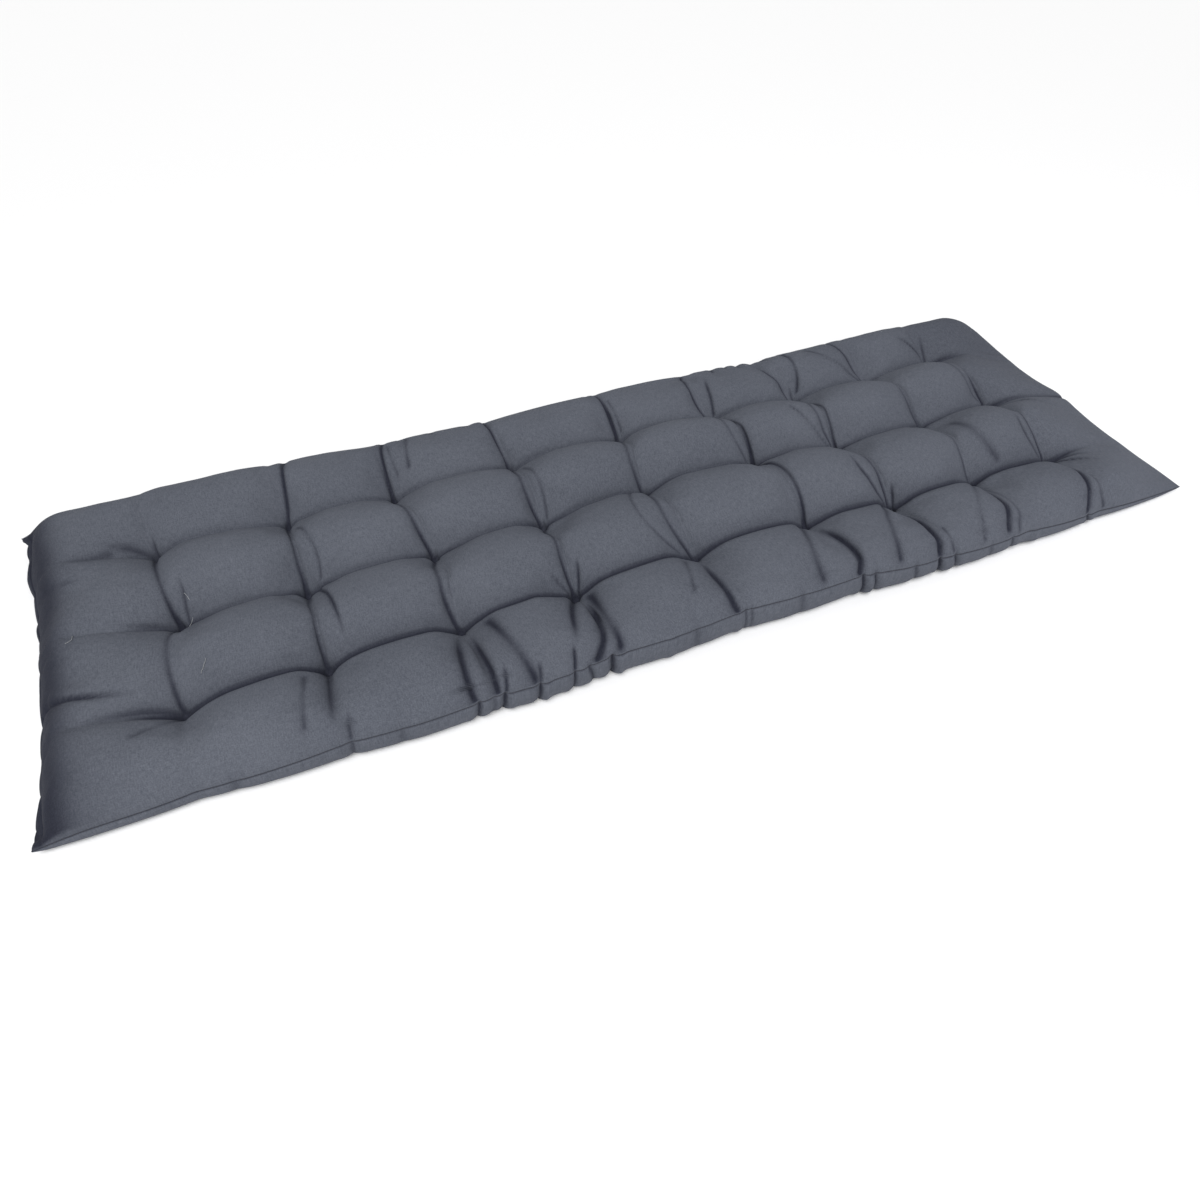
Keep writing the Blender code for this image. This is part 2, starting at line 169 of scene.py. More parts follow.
# Creases of the upper cloth: each runs from (p0, q0) through (pm, qm) to
# (p1, q1) in stitch coordinates. depth and width are in millimetres, lean is
# how far one lip stands over the other (+ the lip on the +p or +q side), and
# ends says where it fades: b less in the middle, e at its end, s at its start, n nowhere.
Crease = namedtuple("Crease", "name p0 q0 pm qm p1 q1 depth width lean ends")
CREASES = (
    Crease("c1_above", 1.00, 3.00, 1.01, 3.10, 1.02, 3.22, 3.0, 3.0, 0.0, "e"),
    Crease("c1_ab", 1.00, 3.00, 0.97, 2.42, 1.00, 2.00, 4.6, 3.6, 0.5, "b"),
    Crease("c1_ab_2", 1.11, 2.42, 1.09, 2.18, 1.05, 1.98, 2.4, 3.0, 0.3, "s"),
    Crease("c1_bc", 1.00, 2.00, 0.935, 1.58, 1.00, 1.00, 3.6, 4.2, 0.5, "b"),
    Crease("c2_back", 2.00, 3.00, 2.09, 3.45, 2.15, 3.92, 4.4, 3.6, -0.4, "n"),
    Crease("c2_ab", 2.00, 3.00, 1.975, 2.45, 2.00, 2.00, 4.2, 3.8, 0.4, "b"),
    Crease("c2_ab_2", 2.07, 2.78, 2.15, 2.38, 2.13, 2.06, 2.2, 2.8, 0.5, "b"),
    Crease("c2_bc", 2.00, 2.00, 1.97, 1.50, 2.00, 1.02, 3.6, 4.4, 0.4, "b"),
    Crease("c2_pleat", 2.09, 2.00, 2.17, 1.50, 2.16, 1.08, 4.2, 2.8, 0.9, "e"),
    Crease("c2_front_1", 1.82, 0.86, 1.78, 0.55, 1.76, 0.28, 2.2, 4.0, 0.4, "b"),
    Crease("c2_front_2", 2.00, 1.00, 1.96, 0.50, 1.94, 0.08, 3.0, 5.5, 0.4, "e"),
    Crease("c2_front_3", 2.07, 0.36, 2.04, 0.18, 2.03, 0.00, 2.4, 3.6, -0.4, "s"),
    Crease("c3_back_1", 3.00, 3.00, 3.02, 3.35, 3.09, 3.92, 4.4, 3.4, -0.5, "n"),
    Crease("c3_back_2", 3.11, 3.64, 3.11, 3.42, 3.11, 3.20, 1.8, 2.8, 0.3, "b"),
    Crease("c3_back_3", 3.28, 3.74, 3.25, 3.48, 3.22, 3.24, 2.8, 3.0, 0.4, "b"),
    Crease("c3_ab", 3.00, 3.00, 2.92, 2.45, 3.00, 2.00, 5.0, 3.6, 0.6, "b"),
    Crease("c3_bc", 3.00, 2.00, 2.90, 1.52, 3.00, 1.00, 5.0, 3.8, 0.6, "b"),
    Crease("c3_front_a", 3.00, 1.00, 2.865, 0.52, 2.86, 0.02, 6.6, 5.4, -0.5, "s"),
    Crease("c3_front_b", 3.02, 0.96, 3.03, 0.50, 3.03, 0.02, 6.2, 5.0, 0.6, "s"),
    Crease("c3_front_c", 3.14, 0.36, 3.115, 0.18, 3.09, 0.00, 3.6, 3.0, 0.5, "s"),
    Crease("c3_front_d", 3.20, 0.90, 3.28, 0.45, 3.32, 0.06, 4.0, 7.0, 0.3, "b"),
    Crease("c3_front_e", 3.40, 0.30, 3.375, 0.14, 3.355, 0.00, 3.0, 3.0, 0.4, "s"),
    Crease("c4_back", 4.00, 3.00, 3.965, 3.40, 3.97, 3.92, 5.4, 3.4, -0.7, "n"),
    Crease("c4_ab", 4.00, 3.00, 3.91, 2.45, 4.00, 2.00, 4.8, 3.6, 0.5, "b"),
    Crease("c4_ab_2", 4.06, 2.80, 4.09, 2.42, 4.05, 2.06, 2.2, 2.8, 0.4, "b"),
    Crease("c4_bc", 4.00, 2.00, 3.94, 1.52, 4.00, 1.00, 4.8, 3.6, 0.5, "b"),
    Crease("c4_bc_left", 3.80, 1.26, 3.87, 1.13, 3.97, 1.02, 2.2, 3.4, 0.3, "s"),
    Crease("c4_bc_right", 4.10, 1.32, 4.07, 1.16, 4.02, 1.02, 3.6, 2.8, 0.5, "s"),
    Crease("c4_front_a", 3.98, 0.98, 3.80, 0.60, 3.72, 0.24, 6.2, 5.2, -0.5, "e"),
    Crease("c4_front_a2", 3.70, 0.36, 3.67, 0.18, 3.64, 0.00, 4.2, 2.8, -0.6, "s"),
    Crease("c4_front_b", 4.01, 0.98, 3.985, 0.50, 3.83, 0.00, 7.4, 5.2, 0.8, "s"),
    Crease("c4_front_c", 4.08, 0.90, 4.05, 0.48, 4.03, 0.10, 4.2, 7.0, 0.3, "b"),
    Crease("c5_back", 5.00, 3.00, 5.00, 3.40, 4.96, 3.92, 4.8, 3.4, -0.6, "n"),
    Crease("c5_back_2", 5.05, 3.55, 5.06, 3.35, 5.06, 3.12, 1.8, 2.8, 0.3, "b"),
    Crease("c5_ab", 5.00, 3.00, 4.91, 2.42, 5.00, 2.00, 3.8, 4.2, 0.4, "b"),
    Crease("c5_bc_a", 4.78, 1.88, 4.68, 1.42, 4.88, 1.05, 2.2, 2.8, 0.5, "b"),
    Crease("c5_bc_b", 5.00, 2.00, 4.865, 1.45, 5.00, 1.00, 4.0, 3.8, 0.5, "b"),
    Crease("c5_front", 5.00, 1.00, 4.91, 0.50, 4.93, 0.04, 5.0, 5.4, 0.5, "s"),
    Crease("c5_front_2", 4.82, 0.88, 4.75, 0.66, 4.70, 0.46, 2.0, 3.6, 0.3, "b"),
    Crease("c6_back_a", 6.00, 3.00, 5.93, 3.38, 5.99, 3.92, 3.8, 3.4, -0.4, "n"),
    Crease("c6_back_b", 6.19, 3.70, 6.13, 3.36, 6.06, 3.06, 3.2, 3.0, 0.4, "s"),
    Crease("c6_ab", 6.00, 3.00, 6.015, 2.50, 6.00, 2.00, 5.0, 3.6, 0.6, "b"),
    Crease("c6_ab_2", 5.87, 2.72, 5.85, 2.35, 5.93, 2.04, 2.2, 3.4, 0.3, "b"),
    Crease("c6_bc", 6.00, 2.00, 6.04, 1.50, 6.00, 1.00, 5.2, 3.6, 0.6, "b"),
    Crease("c6_front", 6.00, 1.00, 6.045, 0.55, 5.98, 0.02, 7.0, 5.0, 0.8, "s"),
    Crease("c6_front_2", 5.88, 0.94, 5.70, 0.52, 5.65, 0.12, 3.2, 5.4, 0.3, "b"),
    Crease("c7_back_a", 7.00, 3.00, 6.90, 3.32, 6.80, 3.92, 4.0, 3.4, -0.4, "n"),
    Crease("c7_back_b", 7.01, 3.03, 7.03, 3.14, 7.06, 3.28, 2.2, 2.8, 0.3, "e"),
    Crease("c7_back_c", 7.10, 3.12, 7.19, 3.40, 7.19, 3.74, 3.6, 3.2, 0.5, "b"),
    Crease("c7_ab_a", 7.00, 3.00, 7.035, 2.45, 7.00, 2.00, 4.0, 3.2, 0.5, "b"),
    Crease("c7_ab_b", 6.96, 2.92, 6.86, 2.40, 6.95, 2.03, 3.4, 3.0, 0.5, "b"),
    Crease("c7_ab_c", 6.62, 2.52, 6.72, 2.24, 6.88, 2.03, 2.0, 3.4, 0.3, "b"),
    Crease("c7_bc_a", 7.00, 2.00, 6.925, 1.48, 7.00, 1.00, 5.2, 3.6, 0.6, "b"),
    Crease("c7_bc_b", 6.77, 1.66, 6.75, 1.32, 6.90, 1.03, 3.2, 3.0, 0.5, "s"),
    Crease("c7_bc_c", 7.08, 1.26, 7.05, 1.12, 7.01, 1.01, 3.4, 2.8, 0.5, "s"),
    Crease("c7_front", 7.00, 1.00, 6.94, 0.50, 6.91, 0.02, 7.0, 5.0, 0.7, "s"),
    Crease("c7_front_2", 6.80, 0.98, 6.54, 0.56, 6.42, 0.12, 3.4, 5.4, 0.3, "b"),
    Crease("c7_front_3", 7.04, 0.38, 7.045, 0.22, 7.07, 0.04, 2.4, 2.8, 0.4, "b"),
    Crease("c8_back_a", 8.00, 3.00, 7.85, 3.35, 7.74, 3.92, 3.8, 3.4, -0.4, "n"),
    Crease("c8_back_b", 7.92, 3.02, 7.62, 3.35, 7.47, 3.66, 2.2, 3.4, 0.3, "b"),
    Crease("c8_ab", 8.00, 3.00, 7.97, 2.50, 8.00, 2.00, 2.8, 6.0, 0.2, "b"),
    Crease("c8_bc", 8.00, 2.00, 7.93, 1.50, 8.00, 1.00, 2.8, 5.0, 0.3, "b"),
    Crease("c8_front_a", 8.00, 1.00, 7.86, 0.58, 7.73, 0.10, 5.4, 4.8, 0.5, "s"),
    Crease("c8_front_b", 7.94, 0.96, 7.58, 0.55, 7.42, 0.08, 2.0, 3.4, 0.4, "b"),
    Crease("c8_front_c", 8.00, 0.98, 7.93, 0.50, 7.85, 0.06, 2.0, 4.4, 0.3, "b"),
    Crease("c8_drape", 8.17, 1.76, 8.24, 1.42, 8.33, 1.12, 2.2, 8.0, 0.2, "b"),
    Crease("c9_back_a", 9.00, 3.00, 8.87, 3.24, 8.64, 3.50, 3.8, 3.4, -0.4, "e"),
    Crease("c9_back_b", 9.00, 3.00, 9.05, 3.22, 9.10, 3.46, 2.4, 3.2, 0.3, "e"),
    Crease("c9_a_right", 9.00, 3.00, 9.22, 3.00, 9.46, 2.92, 3.2, 3.6, 0.4, "e"),
    Crease("c9_ab_a", 9.00, 3.00, 8.965, 2.45, 9.00, 2.00, 4.8, 3.6, 0.6, "b"),
    Crease("c9_ab_b", 8.92, 2.84, 8.83, 2.42, 8.95, 2.04, 2.4, 3.0, 0.4, "b"),
    Crease("c9_b_right_a", 9.00, 2.02, 9.48, 2.00, 9.99, 1.97, 3.8, 4.2, 0.4, "b"),
    Crease("c9_b_right_b", 9.04, 1.98, 9.24, 1.88, 9.55, 1.65, 3.2, 4.0, 0.4, "e"),
    Crease("c9_bc_a", 9.00, 2.00, 8.93, 1.48, 9.00, 1.00, 4.8, 3.6, 0.6, "b"),
    Crease("c9_bc_b", 8.86, 1.66, 8.80, 1.30, 8.95, 1.02, 2.4, 3.0, 0.4, "s"),
    Crease("c9_c_right", 9.00, 1.00, 9.18, 0.95, 9.35, 0.82, 3.2, 4.0, 0.3, "e"),
    Crease("c9_c_right_2", 9.00, 1.00, 9.16, 0.84, 9.26, 0.62, 3.4, 3.6, 0.4, "e"),
    Crease("c9_front_a", 9.00, 1.00, 8.93, 0.80, 8.82, 0.58, 5.2, 4.6, 0.5, "e"),
    Crease("c9_front_b", 9.02, 0.92, 8.86, 0.45, 8.78, 0.02, 4.8, 4.6, 0.5, "s"),
    Crease("c9_front_c", 8.98, 0.62, 8.95, 0.30, 9.01, 0.02, 2.2, 3.6, 0.3, "b"),
    Crease("gather_1", 6.38, 3.97, 6.36, 3.82, 6.30, 3.62, 2.6, 3.0, 0.3, "e"),
    Crease("gather_2", 6.55, 3.97, 6.52, 3.84, 6.50, 3.70, 2.2, 3.0, 0.3, "e"),
    Crease("gather_3", 6.68, 3.97, 6.68, 3.84, 6.64, 3.64, 3.0, 3.0, -0.3, "e"),
    Crease("gather_4", 6.94, 3.97, 6.98, 3.84, 7.04, 3.70, 2.4, 3.0, 0.3, "e"),
    Crease("gather_5", 3.83, 3.97, 3.80, 3.84, 3.78, 3.68, 2.2, 3.4, 0.3, "e"),
    Crease("gather_6", 3.52, 3.97, 3.50, 3.84, 3.47, 3.70, 2.0, 3.2, 0.3, "e"),
    Crease("left_a", 1.00, 3.00, 0.82, 3.09, 0.62, 3.11, 2.6, 7.0, 0.2, "e"),
    Crease("left_a_2", 0.72, 3.03, 0.45, 2.98, 0.16, 3.03, 2.2, 8.0, 0.2, "b"),
    Crease("left_a_3", 0.56, 2.69, 0.38, 2.70, 0.18, 2.77, 2.2, 6.0, 0.2, "s"),
    Crease("left_b", 1.00, 2.00, 0.82, 2.02, 0.60, 2.07, 2.2, 6.0, 0.2, "e"),
    Crease("left_c", 1.00, 1.00, 0.72, 1.05, 0.26, 0.95, 3.0, 6.0, 0.3, "e"),
    Crease("left_c_2", 0.97, 0.95, 0.86, 0.83, 0.74, 0.71, 1.8, 5.0, 0.2, "b"),
    Crease("left_pull", 0.16, 1.44, 0.46, 1.30, 0.86, 1.20, 8.0, 4.0, 0.6, "e"),
    Crease("left_pull_2", 0.09, 1.24, 0.17, 1.42, 0.28, 1.58, 5.0, 4.4, 0.5, "e"),
    Crease("left_pull_3", 0.09, 1.80, 0.18, 1.85, 0.32, 1.87, 2.8, 3.2, 0.4, "e"),
    Crease("left_pull_4", 0.09, 2.62, 0.17, 2.68, 0.28, 2.72, 2.8, 3.2, 0.4, "e"),
    Crease("left_pull_5", 0.09, 0.78, 0.19, 0.85, 0.34, 0.90, 2.8, 3.2, 0.4, "e"),
)

# Tucks of the cloth under the front seam: column at the seam and on the
# floor, depth in millimetres (a negative one stands out), width in
# millimetres, and how far up and down the band it is drawn in.
Tuck = namedtuple("Tuck", "name p_seam p_floor depth width step")
TUCKS = (
    Tuck("t_480", 2.890, 2.877, 4.0, 4.0, 0.6),
    Tuck("t_496", 3.000, 3.000, 1.5, 6.0, -0.3),
    Tuck("t_506", 3.083, 3.075, 5.0, 4.0, 0.8),
    Tuck("t_530", 3.250, 3.230, -1.6, 9.0, 0.0),
    Tuck("t_541", 3.355, 3.357, 4.2, 3.6, 0.5),
    Tuck("t_546", 3.400, 3.410, -1.8, 7.0, 0.0),
    Tuck("t_574", 3.640, 3.655, 4.0, 4.0, -0.5),
    Tuck("t_593", 3.760, 3.845, 3.6, 4.0, -0.5),
    Tuck("t_614", 3.958, 3.995, 6.0, 4.0, 1.0),
    Tuck("t_622", 4.020, 4.050, -1.8, 7.0, 0.0),
    Tuck("t_672", 4.402, 4.445, -2.0, 6.0, 0.3),
    Tuck("t_700", 4.600, 4.650, 1.2, 9.0, 0.0),
    Tuck("t_739", 4.940, 5.008, -2.0, 6.0, 0.4),
    Tuck("t_746", 5.000, 5.065, 2.0, 4.0, 0.3),
    Tuck("t_752", 5.045, 5.112, 1.6, 4.0, 0.0),
    Tuck("t_800", 5.450, 5.520, 1.4, 9.0, 0.0),
    Tuck("t_864", 6.013, 6.123, 4.2, 4.0, 0.6),
    Tuck("t_876", 6.133, 6.250, 4.0, 4.0, -0.5),
    Tuck("t_917", 6.600, 6.740, 2.2, 7.0, 0.2),
    Tuck("t_941", 6.923, 7.055, 5.8, 4.0, 0.9),
    Tuck("t_956", 7.103, 7.223, 4.2, 4.0, -0.6),
    Tuck("t_990", 7.520, 7.620, 1.4, 8.0, 0.0),
    Tuck("t_1012", 7.790, 7.900, 2.4, 5.0, 0.3),
    Tuck("t_1035", 8.078, 8.213, -2.0, 6.0, 0.3),
    Tuck("t_1088", 8.818, 8.943, 3.8, 4.0, 0.5),
    Tuck("t_400", 2.350, 2.350, 1.0, 10.0, 0.0),
    Tuck("t_350", 2.030, 2.020, 2.0, 5.0, 0.2),
    Tuck("t_248", 1.250, 1.240, 1.2, 8.0, 0.0),
)
BAND_BULGE = 0.0022    # how far the band swells out between the seam and the floor
BAND_RUN = 0.015
# loose ends of thread, from (p0, q0) through (pm, qm) to (p1, q1)
Tail = namedtuple("Tail", "name p0 q0 pm qm p1 q1")
TAILS = (
    Tail("at_stitch", 1.10, 2.22, 1.12, 2.08, 1.05, 1.99),
    Tail("at_end", 0.40, 1.99, 0.37, 1.90, 0.24, 1.96),
    Tail("on_pillow", 1.21, 1.32, 1.19, 1.28, 1.16, 1.24),
)
BAND_SHARE = 0.145     # the band takes up this much of the front and back cells on the plan
SEAM_GROOVE = 0.0005
SEAM_GROOVE_HALF = 0.0011
# strength of the painted shade along the front seam
SEAM_SHADE = 0.85
STITCH_PITCH = 0.0042
STITCH_LENGTH = 0.0031
THREAD = 0.00055       # radius of the sewing thread

# the underside
UNDER_DENT = 0.036
UNDER_CHANNEL = 0.005
UNDER_CHANNEL_HALF = 0.012


# ---- looks -------------------------------------------------------------------
CLOTH_DARK = (0.070, 0.0770, 0.0955, 1.0)
CLOTH_LIGHT = (0.122, 0.131, 0.156, 1.0)
# painted shade: how far the cloth's base colour is darkened where it holds painted shade
PAINTED_SHADE_STRENGTH = 0.97
WALL_SHADE = 0.022     # painted shade: the wall at the left end is painted fully dark up to this distance from its edge
WALL_FADE = 0.024
CORNER_SHADE = 0.30    # painted shade: the back of the right end is painted this much darker
FRONT_CORNER_SHADE = 0.34    # and the front of the left end, also painted shade
# the dark colour that painted shade multiplies the cloth's base colour by
PAINTED_SHADE_COLOUR = (0.20, 0.20, 0.25, 1.0)

CAMERA_PLACE = (-0.46232, -0.72962, 0.79714)
CAMERA_TURN = (0.718103, -0.061920, -0.421180)
CAMERA_LENS = 25.6754

Sun = namedtuple("Sun", "name x y z soft power")
SUNS = (
    Sun("key", -0.22, -0.42, 1.0, 0.50, 2.05),
)
# two soft boxes in front, one for each half of the cushion
Box = namedtuple("Box", "name x y z aim_x aim_y size power red green blue")
BOXES = (
    Box("left_box", -0.72, -0.80, 0.95, -0.50, -0.08, 0.6, 3.6, 1.0, 1.0, 1.0),
    Box("right_box", 0.95, -0.80, 0.90, 0.72, -0.12, 0.6, 2.6, 0.93, 0.92, 1.0),
)
WORLD = 0.47


# ---- the shape in stitch coordinates --------------------------------------
def smooth(t):
    t = np.clip(t, 0.0, 1.0)
    return t * t * (3.0 - 2.0 * t)


def cubic(values, t):
    """The smooth curve through evenly spaced values, read at t. Each value may itself be an array of t's shape."""
    values = np.asarray(values, float)
    t = np.asarray(t, float)
    last = len(values) - 1
    i = np.clip(np.floor(t).astype(int), 0, last - 1)
    f = t - i

    def at(k):
        k = np.clip(k, 0, last)
        if values.ndim == 1:
            return values[k]
        return np.take_along_axis(values, k[None], 0)[0]

    a, b, c, d = at(i - 1), at(i), at(i + 1), at(i + 2)
    return b + 0.5 * f * (c - a + f * (2 * a - 5 * b + 4 * c - d + f * (3 * (b - c) + d - a)))


def section_curve(field, column):
    return cubic([getattr(s, field) for s in SECTIONS], column)


def plan(column, row):
    column, row = np.broadcast_arrays(np.asarray(column, float), np.asarray(row, float))
    xs = [section_curve("x_" + n, column) for n in ("front", "c", "b", "a", "back")]
    ys = [section_curve("y_" + n, column) for n in ("front", "c", "b", "a", "back")]
    x, y = cubic(xs, row), cubic(ys, row)
    inside = np.abs(np.sin(math.pi * column)) * np.minimum(1.0, np.minimum(column, 10.0 - column))
    y = y - SCALLOP * inside * smooth(1.0 - row) + SCALLOP * inside * smooth(row - 3.0)
    for end, cut, inward in ((0.0, LEFT_ROUND, 1.0), (10.0, RIGHT_ROUND, -1.0)):
        near = smooth(1.0 - np.abs(column - end) / 0.36) * smooth(1.0 - (4.0 - row) / 0.55)
        x = x + cut * near * inward
        y = y - cut * near
    return x + CENTRE_X, y + CENTRE_Y


def swell(t, power=0.85):
    return np.abs(np.sin(math.pi * t)) ** power


def to_edge(cells):
    return np.sin(0.5 * math.pi * np.clip(1.5 * (1.0 - cells), 0.0, 1.0)) ** 0.85


def rise(distance, run):
    left = np.clip(1.0 - distance / run, 0.0, 1.0)
    return np.sqrt(np.clip(1.0 - left * left, 0.0, 1.0))


def wedge(distance, run, power):
    return 1.0 - np.clip(1.0 - distance / run, 0.0, 1.0) ** power


def edges(column, row):
    x, y = plan(column, row)
    side = np.minimum(y - plan(column, 0.0)[1], plan(column, 4.0)[1] - y)
    left, right = x - plan(0.0, row)[0], plan(10.0, row)[0] - x
    return np.maximum(0.0, side), np.maximum(0.0, left), np.maximum(0.0, right)


def side_seam(column):
    """Height of the long-side seams."""
    return section_curve("seam", column) + SEAM_FULL * np.exp(-(((column - 0.42) / 0.30) ** 2))


def seam_height(column, row):
    side = side_seam(column)
    across = smooth(np.minimum(row, 4.0 - row) / 0.6)
    near_end = smooth(1.0 - np.minimum(column, 10.0 - column) / 0.5)
    return side + (END_SEAM - side) * across * near_end


def row_saddle(column, row):
    """Height of the channel of the nearest stitched rows at this column."""
    cells = [s.cell + 0.5 for s in SADDLES]
    c, b, a = (np.interp(column, cells, [getattr(s, n) for s in SADDLES]) for n in "cba")
    towards_b = np.clip(row - 1.0, 0.0, 1.0)
    towards_a = np.clip(row - 2.0, 0.0, 1.0)
    return c + (b - c) * towards_b + (a - b) * towards_a


def back_gathers(column, row):
    """How far the back side is drawn down by its notches and along its low stretches."""
    x = section_curve("x_back", column)
    down = sum(d.depth * smooth((column - d.p_from) / 0.25) * smooth((d.p_to - column) / 0.20) for d in BACK_DIPS)
    down = down * smooth((row - 3.10) / 0.55)
    for n in BACK_NOTCHES:
        d = (x - section_curve("x_back", n.p)) * 1000.0 / n.width
        down = down + n.depth / 1000.0 * np.exp(-(d * d)) * smooth((row - 3.50) / 0.35)
    return down


def left_rise(distance, row):
    """From 0 at the top of the left end's lip to 1; the back corner falls away more slowly."""
    run = LEFT_RUN + LEFT_CORNER_RUN * smooth((row - 3.25) / 0.75)
    return 1.0 - np.clip(1.0 - (distance - LIP) / run, 0.0, 1.0) ** LEFT_POWER


def top_height(column, row, fill=1.0):
    side, left, right = edges(column, row)
    from_end, from_side = np.minimum(column, 10.0 - column), np.minimum(row, 4.0 - row)
    along = np.where(from_end >= 1.0, swell(column, ALONG_POWER), to_edge(np.minimum(from_end, 1.0)))
    arc = np.where(from_end >= 1.0, swell(column, ARC_POWER), to_edge(np.minimum(from_end, 1.0)))
    across = np.where(from_side >= 1.0, swell(row, ACROSS_POWER), to_edge(np.minimum(from_side, 1.0)))
    outer = smooth((1.0 - from_side) / 0.7)
    at_end = smooth((1.0 - from_end) / 0.5)
    crown = CROWN + (SIDE_CROWN - CROWN) * outer
    right_crown = RIGHT_CROWN + (RIGHT_BACK_CROWN - RIGHT_CROWN) * smooth((row - 2.8) / 0.6)
    end_crown = np.where(column > 5.0, right_crown, END_CROWN)
    crown = crown + (np.minimum(crown, end_crown) - crown) * at_end
    a = row_saddle(column, row) - TUFT_TOP
    b = COLUMN_SADDLE + (SIDE_SADDLE - COLUMN_SADDLE) * outer - TUFT_TOP
    ab = crown - TUFT_TOP - a - b
    level = np.where(from_end >= 1.0, section_curve("swell", column), 0.91 + 0.09 * at_end)
    bulge = a * (arc + (along - arc) * across) + level * (b * across + ab * along * across)
    seam = seam_height(column, row)
    x, y = plan(column, row)
    px, py = plan(np.clip(np.round(column), 1, 9), np.clip(np.round(row), 1, 3))
    bulge = bulge * (1.0 - PIT * np.exp(-((x - px) ** 2 + (y - py) ** 2) / PIT_RADIUS**2))
    inner = TUFT_TOP + bulge * fill - back_gathers(column, row)
    lip = np.sin(0.5 * math.pi * np.clip(left / (0.6 * LIP), 0.0, 1.0)) * smooth(1.0 - (left - LIP) / 0.02)
    seam = seam + np.maximum(0.0, LIP_HEIGHT - seam) * lip * smooth(side / 0.010)
    right_run = RIGHT_RUN - RIGHT_CORNER_RUN * smooth((row - 2.9) / 0.8)
    ends = left_rise(left, row) * wedge(right, right_run, RIGHT_POWER)
    ends = np.where(left < LIP, 0.0, ends)
    return seam + (inner - seam) * rise(side, SIDE_RUN) * ends


def start_fill(column, row):
    side, left, right = edges(column, row)
    inward = np.minimum(side, np.minimum(left, right))
    return 1.0 - (1.0 - START_FILL) * smooth(inward / START_EDGE)


def under_height(column, row):
    side, left, right = edges(column, row)
    seam = seam_height(column, row)
    end = np.minimum(left, right)
    lift = seam * (1.0 - rise(side, BAND_RUN) * rise(end, BAND_RUN))
    x, y = plan(column, row)
    dent = np.zeros_like(x)
    for i in range(1, 10):
        for j in range(1, 4):
            px, py = plan(float(i), float(j))
            near = np.clip(1.0 - np.hypot(x - px, y - py) / UNDER_DENT, 0.0, 1.0)
            dent = np.maximum(dent, TUFT_UNDER * near * near * (3.0 - 2.0 * near))
    nearest_column = np.clip(np.round(column), 1, 9)
    nearest_row = np.clip(np.round(row), 1, 3)
    off_column = np.abs(x - plan(nearest_column, row)[0])
    off_row = np.abs(y - plan(column, nearest_row)[1])
    inside_rows = smooth((np.minimum(row, 4.0 - row) - 0.2) / 0.3)
    inside_columns = smooth((np.minimum(column, 10.0 - column) - 0.2) / 0.3)
    for off, inside in ((off_column, inside_rows), (off_row, inside_columns)):
        near = np.clip(1.0 - off / UNDER_CHANNEL_HALF, 0.0, 1.0)
        dent = np.maximum(dent, UNDER_CHANNEL * near * near * (3.0 - 2.0 * near) * inside)
    return np.maximum(lift, 0.0) + dent * smooth(side / 0.03) * smooth(end / 0.03)


# ---- the simulation --------------------------------------------------------
def spread(counts):
    lines = []
    for i, n in enumerate(counts):
        lines += list(i + np.arange(n) / n)
    return np.array(lines + [float(len(counts))])


def grid_mesh(name, points):
    rows, columns = points.shape[:2]
    mesh = bpy.data.meshes.new(name)
    k = np.arange(rows * columns).reshape(rows, columns)
    quads = np.stack([k[:-1, :-1], k[:-1, 1:], k[1:, 1:], k[1:, :-1]], -1).reshape(-1, 4)
    mesh.from_pydata(points.reshape(-1, 3).tolist(), [], quads.tolist())
    mesh.update()
    return mesh


def vertex_group(obj, name, weights):
    group = obj.vertex_groups.new(name=name)
    for i in np.nonzero(weights > 0)[0]:
        group.add([int(i)], float(weights[i]), "REPLACE")


def simulate(start, held, snug):
    """Stuffs the upper cloth: it is cut larger than its stitched shape, and is held at the seam and the stitches while the filling pushes it out."""
    mesh = grid_mesh("stuffing", start)
    cloth = bpy.data.objects.new("stuffing", mesh)
    bpy.context.scene.collection.objects.link(cloth)
    vertex_group(cloth, "held", held.reshape(-1))
    vertex_group(cloth, "snug", snug.reshape(-1))
    modifier = cloth.modifiers.new("Cloth", "CLOTH")
    s = modifier.settings
    s.quality = 6
    s.mass = 0.0005
    s.air_damping = 2.0
    s.tension_stiffness = s.compression_stiffness = 15.0
    s.shear_stiffness = 5.0
    s.bending_stiffness = 0.05
    s.tension_damping = s.compression_damping = 6.0
    s.shear_damping = 4.0
    s.bending_damping = 1.0
    s.vertex_group_mass = "held"
    s.pin_stiffness = 1.0
    s.vertex_group_shrink = "snug"
    s.shrink_min = -SIM_FULLNESS
    s.shrink_max = 0.0
    s.use_pressure = True
    s.uniform_pressure_force = SIM_PRESSURE
    s.effector_weights.gravity = 0.0
    modifier.collision_settings.use_collision = False
    modifier.collision_settings.use_self_collision = False
    modifier.point_cache.frame_start = 1
    modifier.point_cache.frame_end = SIM_FRAMES + 1
    scene = bpy.context.scene
    for number in range(1, SIM_FRAMES + 1):
        scene.frame_set(number)
    seen = cloth.evaluated_get(bpy.context.evaluated_depsgraph_get())
    out = np.empty(len(mesh.vertices) * 3, np.float32)
    seen.data.vertices.foreach_get("co", out)
    bpy.data.objects.remove(cloth, do_unlink=True)
    bpy.data.meshes.remove(mesh)
    scene.frame_set(1)
    return out.reshape(start.shape).astype(float)


def softened(field, times):
    """The field averaged with its neighbours, its border kept."""
    for _ in range(times):
        inner = field[1:-1, 1:-1]
        around = field[:-2, 1:-1] + field[2:, 1:-1] + field[1:-1, :-2] + field[1:-1, 2:]
        field = field.copy()
        field[1:-1, 1:-1] = 0.5 * inner + 0.125 * around
    return field


